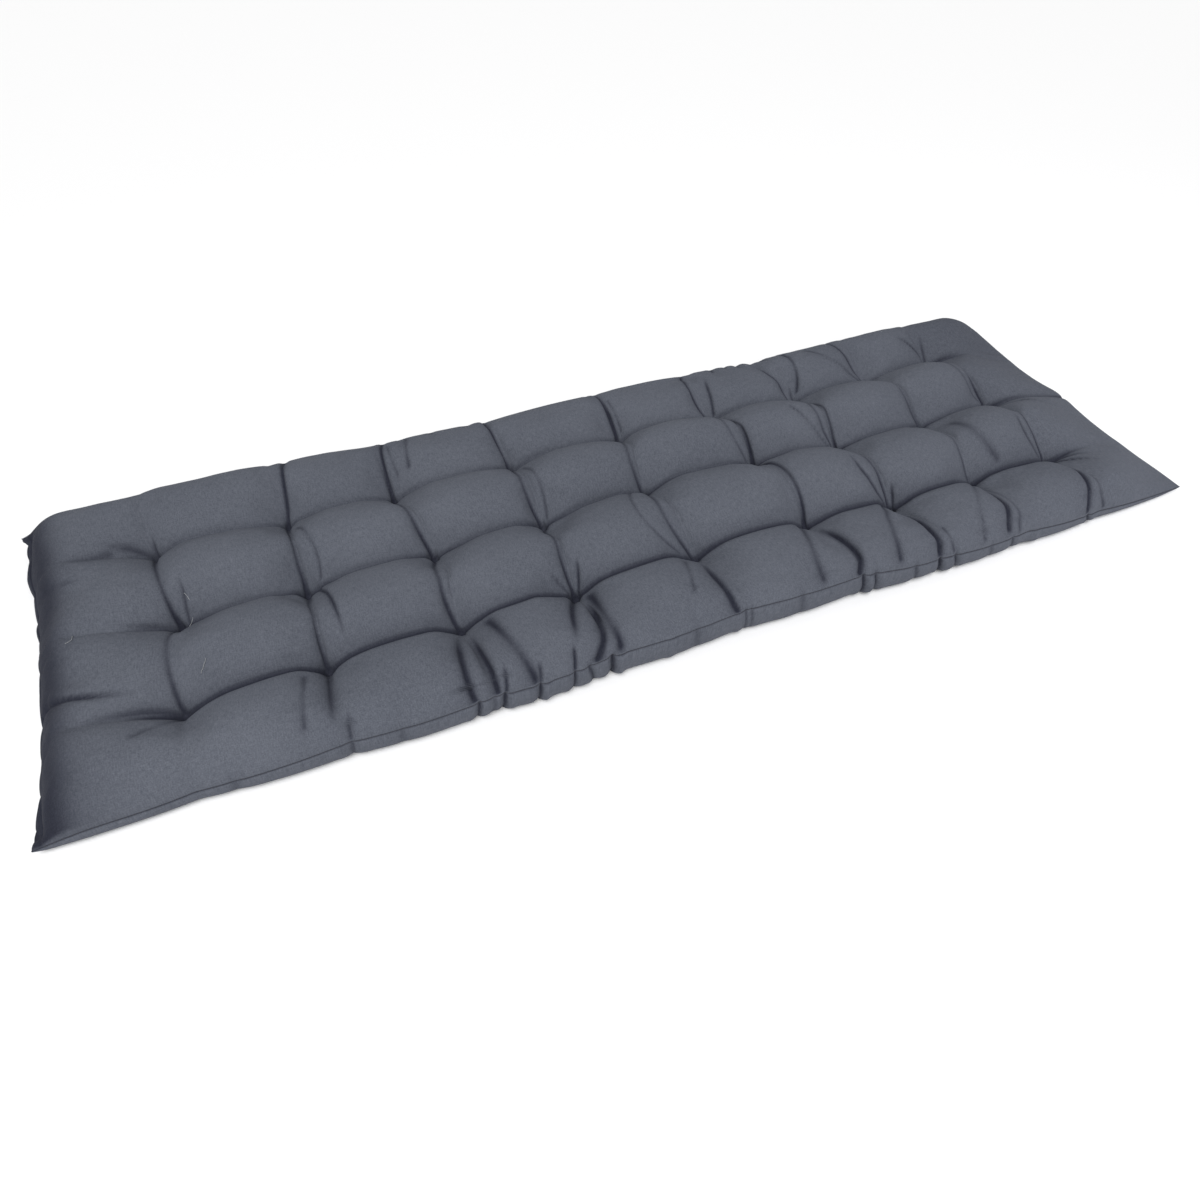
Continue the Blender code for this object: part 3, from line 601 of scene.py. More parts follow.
def stuffed():
    """How far the simulated cloth is from the measured shape, on the simulation's grid, and that grid's lines.

    At the stitches, the channels' mid points and the crowns the measured height
    is kept; between them the cloth lies as it came out of the simulation.
    """
    columns, rows = spread([SIM_CELL] * 10), spread(SIM_ROWS)
    p, q = np.meshgrid(columns, rows)
    x, y = plan(p, q)
    start = np.stack([x, y, top_height(p, q, start_fill(p, q))], -1)
    held = np.zeros(p.shape)
    held[0, :] = held[-1, :] = held[:, 0] = held[:, -1] = 1.0
    for i in range(1, 10):
        for j in range(1, 4):
            held[(np.abs(p - i) < 1e-6) & (np.abs(q - j) < 1e-6)] = 1.0
    side, left, right = edges(p, q)
    inward = np.minimum(side, np.minimum(left, right))
    snug = 1.0 - smooth((inward - 0.008) / SIM_SNUG)
    moved = softened(simulate(start, held, snug) - start, 3)
    length = np.linalg.norm(moved, axis=-1, keepdims=True)
    moved *= np.minimum(1.0, SIM_CAP / np.maximum(length, 1e-9))
    over = start[..., 2] + moved[..., 2] - top_height(p, q)
    mid_columns = [SIM_CELL // 2 * k for k in range(21)]
    mid_rows = [0]
    for n in SIM_ROWS:
        mid_rows += [mid_rows[-1] + n // 2, mid_rows[-1] + n]
    known = over[np.ix_(mid_rows, mid_columns)]
    general = read_grid(known[..., None], columns[mid_columns], rows[mid_rows], p, q)[..., 0]
    moved[..., 2] = over - general
    return moved, columns, rows


def read_grid(values, columns, rows, p, q):
    """A grid of values read smoothly at p, q."""
    pi = np.interp(p, columns, np.arange(len(columns)))
    qi = np.interp(q, rows, np.arange(len(rows)))

    def weights(t, last):
        i = np.clip(np.floor(t).astype(int), 0, last - 1)
        f = t - i
        w = (
            0.5 * (-f + 2 * f * f - f**3),
            0.5 * (2 - 5 * f * f + 3 * f**3),
            0.5 * (f + 4 * f * f - 3 * f**3),
            0.5 * (-f * f + f**3),
        )
        return [(np.clip(i + k - 1, 0, last), w[k]) for k in range(4)]

    out = 0.0
    for kq, wq in weights(qi, len(rows) - 1):
        for kp, wp in weights(pi, len(columns) - 1):
            out = out + (wq * wp)[..., None] * values[kq, kp]
    return out


# ---- creases ---------------------------------------------------------------
def crease_line(c, n=24):
    """Points in stitch coordinates along the smooth curve through a crease's three points."""
    t = np.linspace(0.0, 1.0, n)
    a, b, d = 2 * (t - 0.5) * (t - 1), -4 * t * (t - 1), 2 * t * (t - 0.5)
    return a * c.p0 + b * c.pm + d * c.p1, a * c.q0 + b * c.qm + d * c.q1, t


def fade(t, ends):
    start = smooth(t / 0.45) if ends == "s" else (0.55 + 0.45 * smooth(np.abs(t - 0.5) * 2) if ends == "b" else 1.0)
    end = smooth((1.0 - t) / 0.6) if ends == "e" else 1.0
    return start * end


def distance_to(line_x, line_y, t, x, y):
    """For each point, the signed distance to a line (+ on its right as it runs) and the share of its length reached there."""
    best = np.full(x.shape, 1e9)
    side = np.zeros(x.shape)
    at = np.zeros(x.shape)
    for k in range(len(line_x) - 1):
        ax, ay = line_x[k], line_y[k]
        dx, dy = line_x[k + 1] - ax, line_y[k + 1] - ay
        size = dx * dx + dy * dy + 1e-15
        u = np.clip(((x - ax) * dx + (y - ay) * dy) / size, 0.0, 1.0)
        ex, ey = x - ax - u * dx, y - ay - u * dy
        d = ex * ex + ey * ey
        closer = d < best
        best = np.where(closer, d, best)
        side = np.where(closer, np.sign(ex * dy - ey * dx), side)
        at = np.where(closer, t[k] + u * (t[k + 1] - t[k]), at)
    return np.sqrt(best) * side, at


def add_creases(p, q, x, y):
    """How far each point of the upper cloth is drawn in (-) or lifted (+) by the creases, and how much painted shade it
    gets in them, along the stitched rows and round the stitches.
    """
    lift = np.zeros(x.shape)
    shade = np.zeros(x.shape)
    for c in CREASES:
        lp, lq, t = crease_line(c)
        lx, ly = plan(lp, lq)
        w, depth = c.width / 1000.0, c.depth / 1000.0
        reach = 7 * w
        near = (x > lx.min() - reach) & (x < lx.max() + reach) & (y > ly.min() - reach) & (y < ly.max() + reach)
        d, at = distance_to(lx, ly, t, x[near], y[near])
        # past either end the crease closes softly
        strength = fade(at, c.ends)
        turned = -1.0 if ly[-1] < ly[0] else 1.0
        d = d * turned
        valley = -0.80 * np.exp(-np.abs(d) / (0.70 * w)) + 0.04 * np.exp(-(((np.abs(d) - 3.0 * w) / (2.0 * w)) ** 2))
        lip = np.tanh(d / (0.5 * w)) * np.exp(-np.abs(d) / (3.5 * w)) * c.lean * 0.34
        if c.q1 < 0.3 and c.q0 > 0.8:
            valley = valley + PLEAT_RIDGE * np.exp(-(((np.abs(d) - 2.1 * w) / (1.1 * w)) ** 2))
        lift[near] += depth * strength * (valley + lip)
        # painted shade: the slope on its left is painted darker than the one on its right
        upright = 0.8 * abs(c.q1 - c.q0) > abs(c.p1 - c.p0)
        wide = np.exp(-np.abs(d) / np.where(d < 0, 2.6 * w, 0.9 * w)) if upright else np.exp(-np.abs(d) / (1.4 * w))
        thin = 0.80 * np.exp(-((d / (0.70 * w)) ** 2)) + 0.38 * wide
        shade[near] = np.maximum(shade[near], strength * thin * min(1.10, (depth / 0.0044) ** 0.8))
    for line in ROW_LINES:
        lx, ly = plan(np.linspace(0.7, 9.3, 240), float(line.row))
        off = y - np.interp(x, lx, ly)
        inside = smooth((p - 0.55) / 0.4) * smooth((9.45 - p) / 0.4)
        strength = (line.between + (1.0 - line.between) * np.cos(math.pi * p) ** 4) * inside
        lift -= line.depth * strength * np.exp(-np.abs(off) / line.width)
        # painted shade along each stitched row, reaching further over its back side
        thin = 0.75 * np.exp(-((off / 0.0026) ** 2)) + 0.45 * np.exp(-np.abs(off) / np.where(off > 0, 0.011, 0.0030))
        shade = np.maximum(shade, line.shade * strength * thin)
    for i in range(1, 10):
        for j in range(1, 4):
            px, py = plan(float(i), float(j))
            r = np.hypot(x - px, y - py)
            lift -= PINCH * np.exp(-r / PINCH_RADIUS)
            # painted shade round each stitch
            shade = np.maximum(shade, 0.55 * np.exp(-((r / 0.0050) ** 2)) + 0.30 * np.exp(-r / 0.014))
    return lift, shade


# ---- the fine mesh -----------------------------------------------------------
def shares(density, lo, hi, count):
    """count + 1 places from lo to hi, as close together as the density asks."""
    s = np.linspace(lo, hi, 6001)
    total = np.concatenate([[0.0], np.cumsum(0.5 * (density(s)[1:] + density(s)[:-1]) * np.diff(s))])
    return np.interp(np.linspace(0.0, total[-1], count + 1), total, s)


def row_density(q):
    near = sum(1.2 * np.exp(-(((q - j) / 0.08) ** 2)) for j in (1, 2, 3))
    near = near + 1.1 * np.exp(-(((q - 1.33) / 0.13) ** 2))
    return 1.0 + near + 0.95 / np.sqrt(q + 0.00008) + 0.30 / np.sqrt(4.0 - q + 0.003)


def column_lines(rows):
    """The columns of each row of points: closer together where the row crosses channels and creases."""
    s = np.linspace(0.0, 10.0, 4001)
    out = np.empty((len(rows), ALONG + 1))
    crossings = [crease_line(c)[:2] + (c,) for c in CREASES if abs(c.q1 - c.q0) > 2.0 * abs(c.p1 - c.p0)]
    for k, q in enumerate(rows):
        density = 1.0 + 1.6 * np.exp(-((s / 0.16) ** 2)) + 0.8 * np.exp(-(((10.0 - s) / 0.10) ** 2))
        for i in range(1, 10):
            density += 0.7 * np.exp(-(((s - i) / 0.06) ** 2))
        for lp, lq, c in crossings:
            order = np.argsort(lq)
            lo, hi = lq[order[0]], lq[order[-1]]
            present = float(smooth((q - lo + 0.12) / 0.12) * smooth((hi + 0.12 - q) / 0.12))
            if present > 0:
                where = np.interp(q, lq[order], lp[order])
                density += 1.5 * present * np.exp(-(((s - where) / 0.045) ** 2))
        for tuck in TUCKS:
            if q < 0.24:
                density += 1.6 * float(smooth((0.24 - q) / 0.1)) * np.exp(-(((s - 0.5 * (tuck.p_seam + tuck.p_floor)) / 0.05) ** 2))
        total = np.concatenate([[0.0], np.cumsum(0.5 * (density[1:] + density[:-1]) * np.diff(s))])
        out[k] = np.interp(np.linspace(0.0, total[-1], ALONG + 1), total, s)
    # the lines change smoothly from row to row
    for _ in range(3):
        out[1:-1] = 0.5 * out[1:-1] + 0.25 * (out[:-2] + out[2:])
    return out


def normals_of(points):
    n = np.cross(np.gradient(points, axis=1), np.gradient(points, axis=0))
    return n / np.maximum(np.linalg.norm(n, axis=-1, keepdims=True), 1e-12)


def ruffle(points, p, q, under):
    """The thin lip of the left end stands out between its notches, and goes up and down."""
    left = edges(p, q)[1]
    strength = np.clip(1.0 - left / (2.0 * LIP), 0.0, 1.0)
    notches = np.array(LIP_NOTCHES)
    k = np.clip(np.searchsorted(notches, q, side="right") - 1, 0, len(notches) - 2)
    size = notches[k + 1] - notches[k]
    bow = np.sin(math.pi * np.clip((q - notches[k]) / size, 0.0, 1.0)) ** 0.6
    out = bow * np.minimum(1.0, size / 0.40) * (0.75 + 0.25 * np.cos(2.4 * k))
    inside = smooth(q / 0.05) * smooth((4.0 - q) / 0.05)
    drawn = smooth((q - 3.25) / 0.30) * smooth((3.92 - q) / 0.12)
    points[..., 0] += (RUFFLE * (0.55 - out) * inside + LEFT_DRAWN * drawn) * strength
    if not under:
        turn = np.where(k % 2 == 0, 1.0, -0.5)
        points[..., 2] += 0.0030 * turn * bow * strength * inside * smooth(left / 0.003)
    return points


def tucked(points, p, q, above):
    """Draws the cloth under the front seam in at its tucks, and moves the seam a little with them."""
    x, y, z = points[..., 0], points[..., 1], points[..., 2]
    shade = np.zeros(x.shape)
    seam = np.maximum(side_seam(p), 1e-4)
    down = np.clip(1.0 - z / seam, 0.0, 1.0) if not above else np.zeros_like(z)
    side = edges(p, q)[0]
    front = q < 2.0
    if above:
        strength = np.exp(-np.maximum(0.0, z - seam) / 0.008) * front * (side < 0.03) * 0.48
    else:
        strength = (0.60 + 0.40 * smooth(down / 0.15)) * (1.0 - 0.35 * smooth((down - 0.8) / 0.2)) * front * (side < 0.016) * smooth((0.016 - side) / 0.004)
    for k in TUCKS:
        where = k.p_seam + (k.p_floor - k.p_seam) * down
        wx = section_curve("x_front", where) + CENTRE_X
        d = x - wx
        w, depth = k.width / 1000.0, k.depth / 1000.0
        if depth > 0:
            profile = -np.exp(-np.abs(d) / (0.65 * w)) + 0.30 * np.exp(-(((np.abs(d) - 2.2 * w) / (1.2 * w)) ** 2))
            # painted shade: a dark line painted along each tuck, reaching further over its left side
            dark = 0.85 * np.exp(-((d / (0.45 * w)) ** 2)) + 0.40 * np.exp(-np.abs(d) / np.where(d < 0, 1.6 * w, 0.7 * w))
            shade = np.maximum(shade, dark * min(1.0, (depth / 0.0046) ** 0.8) * np.minimum(1.0, strength * 1.25))
            profile = profile + np.tanh(d / (0.5 * w)) * np.exp(-np.abs(d) / (2.0 * w)) * k.step * 0.5
        else:
            profile = -np.exp(-((d / w) ** 2)) + np.tanh(d / (0.5 * w)) * np.exp(-np.abs(d) / (1.5 * w)) * k.step * 0.4
        y = y - depth * profile * strength
        z = z + 0.22 * abs(depth) * np.exp(-np.abs(d) / w) * k.step * np.exp(-np.abs(z - seam) / 0.006) * front * (side < 0.03)
    points[..., 1], points[..., 2] = y, z
    return points, shade


def upper_cloth(p, q):
    moved, columns, rows = stuffed()
    x, y = plan(p, q)
    from_stitch = np.full(p.shape, 1.0)
    for i in range(1, 10):
        for j in range(1, 4):
            px, py = plan(float(i), float(j))
            from_stitch = np.minimum(from_stitch, np.hypot(x - px, y - py))
    free = 1.0 - np.exp(-((from_stitch / STITCH_HOLD) ** 2))
    base = np.stack([x, y, top_height(p, q)], -1) + read_grid(moved, columns, rows, p, q) * free[..., None]
    lift, shade = add_creases(p, q, x, y)
    side, left, right = edges(p, q)
    at_ends = smooth((left - 0.4 * LIP) / 0.006) * smooth(right / 0.01)
    at_seam = smooth(side / 0.0030) * at_ends
    points = base + normals_of(base) * (lift * at_seam)[..., None]
    # the seam itself is drawn in
    seam_line = points[:1]
    run = np.linalg.norm(points - seam_line, axis=-1)
    groove = SEAM_GROOVE * np.exp(-((run / SEAM_GROOVE_HALF) ** 2)) * (q < 0.6)
    points[..., 1] += groove
    points = ruffle(points, p, q, False)
    points, tuck_shade = tucked(points, p, q, True)
    points[..., 2] = np.maximum(points[..., 2], 0.003)
    shade = np.maximum(shade * smooth(side / 0.0008) * at_ends, tuck_shade)
    # painted shade: a thin dark line painted along the front seam
    shade = np.maximum(shade, SEAM_SHADE * np.exp(-((run / 0.0010) ** 2)) * (q < 0.6))
    # painted shade: the wall at the left end, which stands in its own shade, is painted dark
    wall = np.exp(-((np.maximum(0.0, left - WALL_SHADE) / WALL_FADE) ** 2)) * np.where(left < 0.8 * LIP, 0.88, 1.0)
    shade = np.maximum(shade, wall * smooth(side / 0.003))
    # painted shade: the back of the right end and the front of the left end are painted darker
    corner = CORNER_SHADE * smooth((p - 8.4) / 1.3) * smooth((q - 1.5) / 1.8)
    corner = corner + FRONT_CORNER_SHADE * smooth((0.95 - p) / 0.9) * smooth((1.5 - q) / 1.2)
    return points, np.clip(np.maximum(shade, shade * (1.0 - corner) + corner), 0.0, 1.0)


def under_cloth(p, q):
    x, y = plan(p, q)
    side, left, right = edges(p, q)
    seam = seam_height(p, q)
    z = under_height(p, q)
    down = np.clip(1.0 - z / np.maximum(seam, 1e-4), 0.0, 1.0)
    swell_out = BAND_BULGE * np.sin(math.pi * down) * (side < BAND_RUN) * smooth(np.minimum(left, right) / 0.05)
    y = np.where(q < 2.0, y - swell_out, y + swell_out)
    points = np.stack([x, y, z], -1)
    seam_run = np.where(q < 2.0, seam - z, 1.0)
    points[..., 1] += SEAM_GROOVE * np.exp(-((seam_run / SEAM_GROOVE_HALF) ** 2)) * (side < BAND_RUN)
    points = ruffle(points, p, q, True)
    points, shade = tucked(points, p, q, False)
    points[..., 2] = np.maximum(points[..., 2], 0.0)
    below = np.where(q < 2.0, seam - z, 1.0)
    # painted shade: a thin dark line painted along the front seam on the under cloth
    shade = np.maximum(shade, SEAM_SHADE * np.exp(-((below / 0.0010) ** 2)))
    return points, np.minimum(shade, 1.0)


def under_rows(rows):
    """The rows of the upper cloth that the under cloth shares."""
    keep = [k for k, q in enumerate(rows) if q < 0.20]
    front = keep[-1]
    keep += [k for k in range(front + 5, len(rows)) if rows[k] <= 3.80 and (k - front) % 5 == 0]
    back = [k for k, q in enumerate(rows) if q > 3.80]
    keep += back[::2] if (len(back) - 1) % 2 == 0 else back[::2] + [back[-1]]
    return sorted(set(keep))


def band_rows(rows):
    """The same rows, moved so that those of the front and back band are evenly spaced down it."""
    out = rows.copy()
    for from_seam, turned in ((rows, False), (4.0 - rows[::-1], True)):
        count = int(np.sum(from_seam < BAND_SHARE))
        angle = (np.arange(count) / count) ** 1.5 * 0.5 * math.pi
        moved = BAND_SHARE * (1.0 - np.cos(angle))
        if turned:
            out[len(rows) - count :] = 4.0 - moved[::-1]
        else:
            out[:count] = moved
    return out


def build_cover():
    rows = shares(row_density, 0.0, 4.0, ACROSS - 1)
    p = column_lines(rows)
    q = np.repeat(rows[:, None], ALONG + 1, 1)
    upper, shade = upper_cloth(p, q)
    kept = under_rows(rows)
    down = band_rows(rows[kept])
    under, under_shade = under_cloth(p[kept], np.repeat(down[:, None], ALONG + 1, 1))
    r, c = upper.shape[:2]
    top = np.arange(r * c).reshape(r, c)
    low = np.empty((len(kept), c), int)
    low[0], low[-1] = top[0], top[-1]
    low[:, 0], low[:, -1] = top[kept, 0], top[kept, -1]
    low[1:-1, 1:-1] = r * c + np.arange((len(kept) - 2) * (c - 2)).reshape(len(kept) - 2, c - 2)
    points = np.concatenate([upper.reshape(-1, 3), under[1:-1, 1:-1].reshape(-1, 3)])
    faces = np.stack([top[:-1, :-1], top[:-1, 1:], top[1:, 1:], top[1:, :-1]], -1).reshape(-1, 4).tolist()
    count_top = len(faces)
    inner = low[:, 1:-1]
    faces += np.stack([inner[:-1, :-1], inner[1:, :-1], inner[1:, 1:], inner[:-1, 1:]], -1).reshape(-1, 4).tolist()
    # the ends, where the upper cloth has more points than the under cloth
    for edge, inside, turn in ((0, 1, False), (-1, -2, True)):
        for k in range(len(kept) - 1):
            chain = [int(v) for v in top[kept[k] : kept[k + 1] + 1, edge]]
            a, b = int(low[k, inside]), int(low[k + 1, inside])
            half = len(chain) // 2
            tris = [(a, chain[i], chain[i + 1]) for i in range(half)]
            tris += [(a, chain[half], b)]
            tris += [(b, chain[i], chain[i + 1]) for i in range(half, len(chain) - 1)]
            # on the seam rows an inner point is a point of the chain's neighbour
            faces += [list(t[::-1]) if turn else list(t) for t in tris if len(set(t)) == 3]
    mesh = bpy.data.meshes.new("cushion_cover")
    mesh.from_pydata(points.tolist(), [], faces)
    mesh.update()
    mesh.shade_smooth()
    # painted shade of each point, which darkens the cloth's base colour in the material
    shaded = mesh.attributes.new("painted_shade", "FLOAT", "POINT")
    values = np.zeros(len(points), np.float32)
    values[: r * c] = shade.reshape(-1)
    values[r * c :] = under_shade[1:-1, 1:-1].reshape(-1)
    shaded.data.foreach_set("value", values)
    lay_out(mesh, p, q, kept, count_top, r * c)
    cover = bpy.data.objects.new("cushion_cover", mesh)
    bpy.context.scene.collection.objects.link(cover)
    return cover, upper, rows, p


def lay_out(mesh, p, q, kept, count_top, top_points):
    """Two layouts: one of both cloths side by side in the unit square, and one of the thread grid in metres."""
    column = np.concatenate([p.reshape(-1), p[kept][1:-1, 1:-1].reshape(-1)])
    row = np.concatenate([q.reshape(-1), q[kept][1:-1, 1:-1].reshape(-1)])
    loops = np.empty(len(mesh.loops), np.int32)
    mesh.loops.foreach_get("vertex_index", loops)
    starts = np.empty(len(mesh.polygons), np.int32)
    mesh.polygons.foreach_get("loop_start", starts)
    is_top = np.arange(len(loops)) < starts[count_top]
    sheet = np.stack([0.01 + 0.98 * column[loops] / 10.0, np.where(is_top, 0.01 + 0.47 * row[loops] / 4.0, 0.52 + 0.47 * row[loops] / 4.0)], -1)
    thread = np.stack([column[loops] * 0.155, row[loops] * 0.132 + np.where(is_top, 0.0, 2.0)], -1)
    for name, values in (("OFBake", sheet), ("threads", thread)):
        layer = mesh.uv_layers.new(name=name)
        layer.data.foreach_set("uv", values.astype(np.float32).reshape(-1))


# ---- threads ------------------------------------------------------------------
def capsule(points, faces, a, b, radius, sides=6):
    """A short closed thread from a to b."""
    a, b = np.asarray(a, float), np.asarray(b, float)
    along = b - a
    size = np.linalg.norm(along)
    along /= size
    across = np.cross(along, (0, 0, 1.0)) if abs(along[2]) < 0.9 else np.cross(along, (1.0, 0, 0))
    across /= np.linalg.norm(across)
    up = np.cross(across, along)
    first = len(points)
    rings = ((0.0, 0.55), (0.18, 1.0), (0.82, 1.0), (1.0, 0.55))
    for t, share in rings:
        bow = 4 * t * (1 - t) * radius
        for k in range(sides):
            angle = 2 * math.pi * k / sides
            points.append(a + along * size * t + (across * math.cos(angle) + up * math.sin(angle)) * radius * share + up * bow * 0.3)
    for n in range(len(rings) - 1):
        for k in range(sides):
            i, j = first + n * sides + k, first + n * sides + (k + 1) % sides
            faces.append([i, j, j + sides, i + sides])
    faces.append([first + k for k in range(sides)][::-1])
    faces.append([first + (len(rings) - 1) * sides + k for k in range(sides)])


def thread_object(name, points, faces):
    mesh = bpy.data.meshes.new(name)
    mesh.from_pydata([tuple(v) for v in points], [], faces)
    mesh.update()
    mesh.shade_smooth()
    o = bpy.data.objects.new(name, mesh)
    bpy.context.scene.collection.objects.link(o)
    return o


def seam_stitches(upper):
    """The stitching of the front seam, which shows as a fine broken line."""
    line = upper[0].copy()
    step = np.linalg.norm(np.diff(line, axis=0), axis=1)
    run = np.concatenate([[0.0], np.cumsum(step)])
    points, faces = [], []
    at = 0.012
    while at < run[-1] - 0.012:
        ends = [np.array([np.interp(s, run, line[:, k]) for k in range(3)]) for s in (at, at + STITCH_LENGTH)]
        for e in ends:
            e[1] -= 0.2 * THREAD
        capsule(points, faces, ends[0], ends[1], THREAD)
        at += STITCH_PITCH
    return thread_object("seam_stitches", points, faces)


def tuft_threads(upper, rows, p):
    """A short dark tie across each pulled-in stitch."""
    points, faces = [], []
    for i in range(1, 10):
        for j in range(1, 4):
            k = int(np.argmin(np.abs(rows - j)))
            n = int(np.argmin(np.abs(p[k] - i)))
            x, y, z = upper[k, n]
            tilt = 0.35 * math.sin(7.0 * i + 3.0 * j)
            half = 0.0012
            a = (x - half * math.cos(tilt), y - half * math.sin(tilt), z + 0.0002)
            b = (x + half * math.cos(tilt), y + half * math.sin(tilt), z + 0.0002)
            capsule(points, faces, a, b, 0.0003)
    return thread_object("tuft_threads", points, faces)


def loose_threads(upper, rows, p):
    """Three thin loose ends of thread that lie on the cloth."""
    points, faces = [], []
    for tail in TAILS:
        t = np.linspace(0.0, 1.0, 9)
        a, b, d = 2 * (t - 0.5) * (t - 1), -4 * t * (t - 1), 2 * t * (t - 0.5)
        lp, lq = a * tail.p0 + b * tail.pm + d * tail.p1, a * tail.q0 + b * tail.qm + d * tail.q1
        path = []
        for u, v in zip(lp, lq):
            k = int(np.argmin(np.abs(rows - v)))
            n = int(np.argmin(np.abs(p[k] - u)))
            x, y = plan(u, v)
            path.append((float(x), float(y), float(upper[k, n, 2]) + 0.0007))
        for one, two in zip(path[:-1], path[1:]):
            capsule(points, faces, one, two, 0.00028)
    return thread_object("loose_threads", points, faces)


# ---- materials -----------------------------------------------------------------
def node(tree, kind, **values):
    n = tree.nodes.new(kind)
    for key, value in values.items():
        if hasattr(n, key) and key not in n.inputs:
            setattr(n, key, value)
        else:
            n.inputs[key].default_value = value
    return n


def math_node(tree, operation, first, second=None):
    n = tree.nodes.new("ShaderNodeMath")
    n.operation = operation
    for slot, value in ((0, first), (1, second)):
        if value is None:
            continue
        if isinstance(value, (int, float)):
            n.inputs[slot].default_value = value
        else:
            tree.links.new(value, n.inputs[slot])
    return n.outputs[0]


def cloth_material():
    material = bpy.data.materials.new("slate_cloth")
    material.use_nodes = True
    tree = material.node_tree
    shader = tree.nodes["Principled BSDF"]
    link = tree.links.new
    uv = node(tree, "ShaderNodeUVMap", uv_map="threads")
    place = node(tree, "ShaderNodeTexCoord")
    split = tree.nodes.new("ShaderNodeSeparateXYZ")
    link(uv.outputs["UV"], split.inputs[0])
    u, v = split.outputs[0], split.outputs[1]

    # plain weave: two sets of threads that go over and under one another
    pitch = 2 * math.pi / 0.0011
    warp = math_node(tree, "SINE", math_node(tree, "MULTIPLY", u, pitch))
    weft = math_node(tree, "SINE", math_node(tree, "MULTIPLY", v, pitch))
    weave = math_node(tree, "MULTIPLY", warp, weft)
    ribs = math_node(tree, "MULTIPLY", math_node(tree, "ABSOLUTE", warp), 0.6)
    weave = math_node(tree, "ADD", weave, ribs)

    # uneven yarn: streaks along both threads, more of them across the cushion
    def streaks(along_u, along_v, detail):
        mapping = tree.nodes.new("ShaderNodeMapping")
        mapping.inputs["Scale"].default_value = (along_u, along_v, 1.0)
        link(uv.outputs["UV"], mapping.inputs["Vector"])
        noise = node(tree, "ShaderNodeTexNoise", Scale=1.0, Detail=detail, Roughness=0.6)
        link(mapping.outputs[0], noise.inputs["Vector"])
        return noise.outputs["Fac"]

    slub_v = streaks(720.0, 150.0, 2.0)
    slub_u = streaks(170.0, 680.0, 2.0)
    cloud = node(tree, "ShaderNodeTexNoise", Scale=7.0, Detail=3.0, Roughness=0.55)
    link(place.outputs["Object"], cloud.inputs["Vector"])
    patch = node(tree, "ShaderNodeTexNoise", Scale=140.0, Detail=2.0, Roughness=0.55)
    link(place.outputs["Object"], patch.inputs["Vector"])
    fleck = node(tree, "ShaderNodeTexNoise", Scale=760.0, Detail=1.0, Roughness=0.5)
    link(place.outputs["Object"], fleck.inputs["Vector"])

    tone = math_node(tree, "MULTIPLY", math_node(tree, "SUBTRACT", slub_v, 0.5), 0.85)
    tone = math_node(tree, "ADD", tone, math_node(tree, "MULTIPLY", math_node(tree, "SUBTRACT", slub_u, 0.5), 0.55))
    tone = math_node(tree, "ADD", tone, math_node(tree, "MULTIPLY", math_node(tree, "SUBTRACT", cloud.outputs["Fac"], 0.5), 0.38))
    tone = math_node(tree, "ADD", tone, math_node(tree, "MULTIPLY", math_node(tree, "SUBTRACT", patch.outputs["Fac"], 0.5), 0.20))
    tone = math_node(tree, "ADD", tone, math_node(tree, "MULTIPLY", math_node(tree, "SUBTRACT", fleck.outputs["Fac"], 0.5), 0.72))
    tone = math_node(tree, "ADD", tone, 0.5)

    ramp = tree.nodes.new("ShaderNodeValToRGB")
    ramp.color_ramp.elements[0].position = 0.15
    ramp.color_ramp.elements[0].color = CLOTH_DARK
    ramp.color_ramp.elements[1].position = 0.85
    ramp.color_ramp.elements[1].color = CLOTH_LIGHT
    link(tone, ramp.inputs[0])

    # painted shade: the base colour is multiplied towards a dark colour where the point attribute holds painted shade,
    # in folds, along the seam and the stitched rows, round the stitches, on the left end's wall and in two corners
    shade = node(tree, "ShaderNodeAttribute", attribute_name="painted_shade")
    dark = tree.nodes.new("ShaderNodeMix")
    dark.data_type = "RGBA"
    dark.blend_type = "MULTIPLY"
    link(math_node(tree, "MULTIPLY", shade.outputs["Fac"], PAINTED_SHADE_STRENGTH), dark.inputs["Factor"])
    link(ramp.outputs[0], dark.inputs[6])
    dark.inputs[7].default_value = PAINTED_SHADE_COLOUR
    link(dark.outputs[2], shader.inputs["Base Color"])

    shader.inputs["Roughness"].default_value = 0.82
    shader.inputs["Specular IOR Level"].default_value = 0.06
    shader.inputs["Sheen Weight"].default_value = 0.035
    shader.inputs["Sheen Roughness"].default_value = 0.45
    shader.inputs["Sheen Tint"].default_value = (0.75, 0.80, 0.95, 1.0)

    # slight waves in the cloth, under the weave
    waves = node(tree, "ShaderNodeTexNoise", Scale=26.0, Detail=2.0, Roughness=0.5)
    link(place.outputs["Object"], waves.inputs["Vector"])
    big = node(tree, "ShaderNodeBump", Strength=0.32, Distance=0.010)
    link(waves.outputs["Fac"], big.inputs["Height"])
    small = node(tree, "ShaderNodeBump", Strength=0.45, Distance=0.0004)
    height = math_node(tree, "ADD", math_node(tree, "MULTIPLY", weave, 0.5), math_node(tree, "MULTIPLY", slub_v, 1.2))
    link(height, small.inputs["Height"])
    link(big.outputs[0], small.inputs["Normal"])
    link(small.outputs[0], shader.inputs["Normal"])
    return material


def thread_material(name, deep, pale):
    material = bpy.data.materials.new(name)
    material.use_nodes = True
    tree = material.node_tree
    shader = tree.nodes["Principled BSDF"]
    place = node(tree, "ShaderNodeTexCoord")
    twist = node(tree, "ShaderNodeTexWave", Scale=900.0, Distortion=1.0)
    tree.links.new(place.outputs["Object"], twist.inputs["Vector"])
    ramp = tree.nodes.new("ShaderNodeValToRGB")
    ramp.color_ramp.elements[0].color = deep
    ramp.color_ramp.elements[1].color = pale
    tree.links.new(twist.outputs["Fac"], ramp.inputs[0])
    tree.links.new(ramp.outputs[0], shader.inputs["Base Color"])
    shader.inputs["Roughness"].default_value = 0.7
    return material


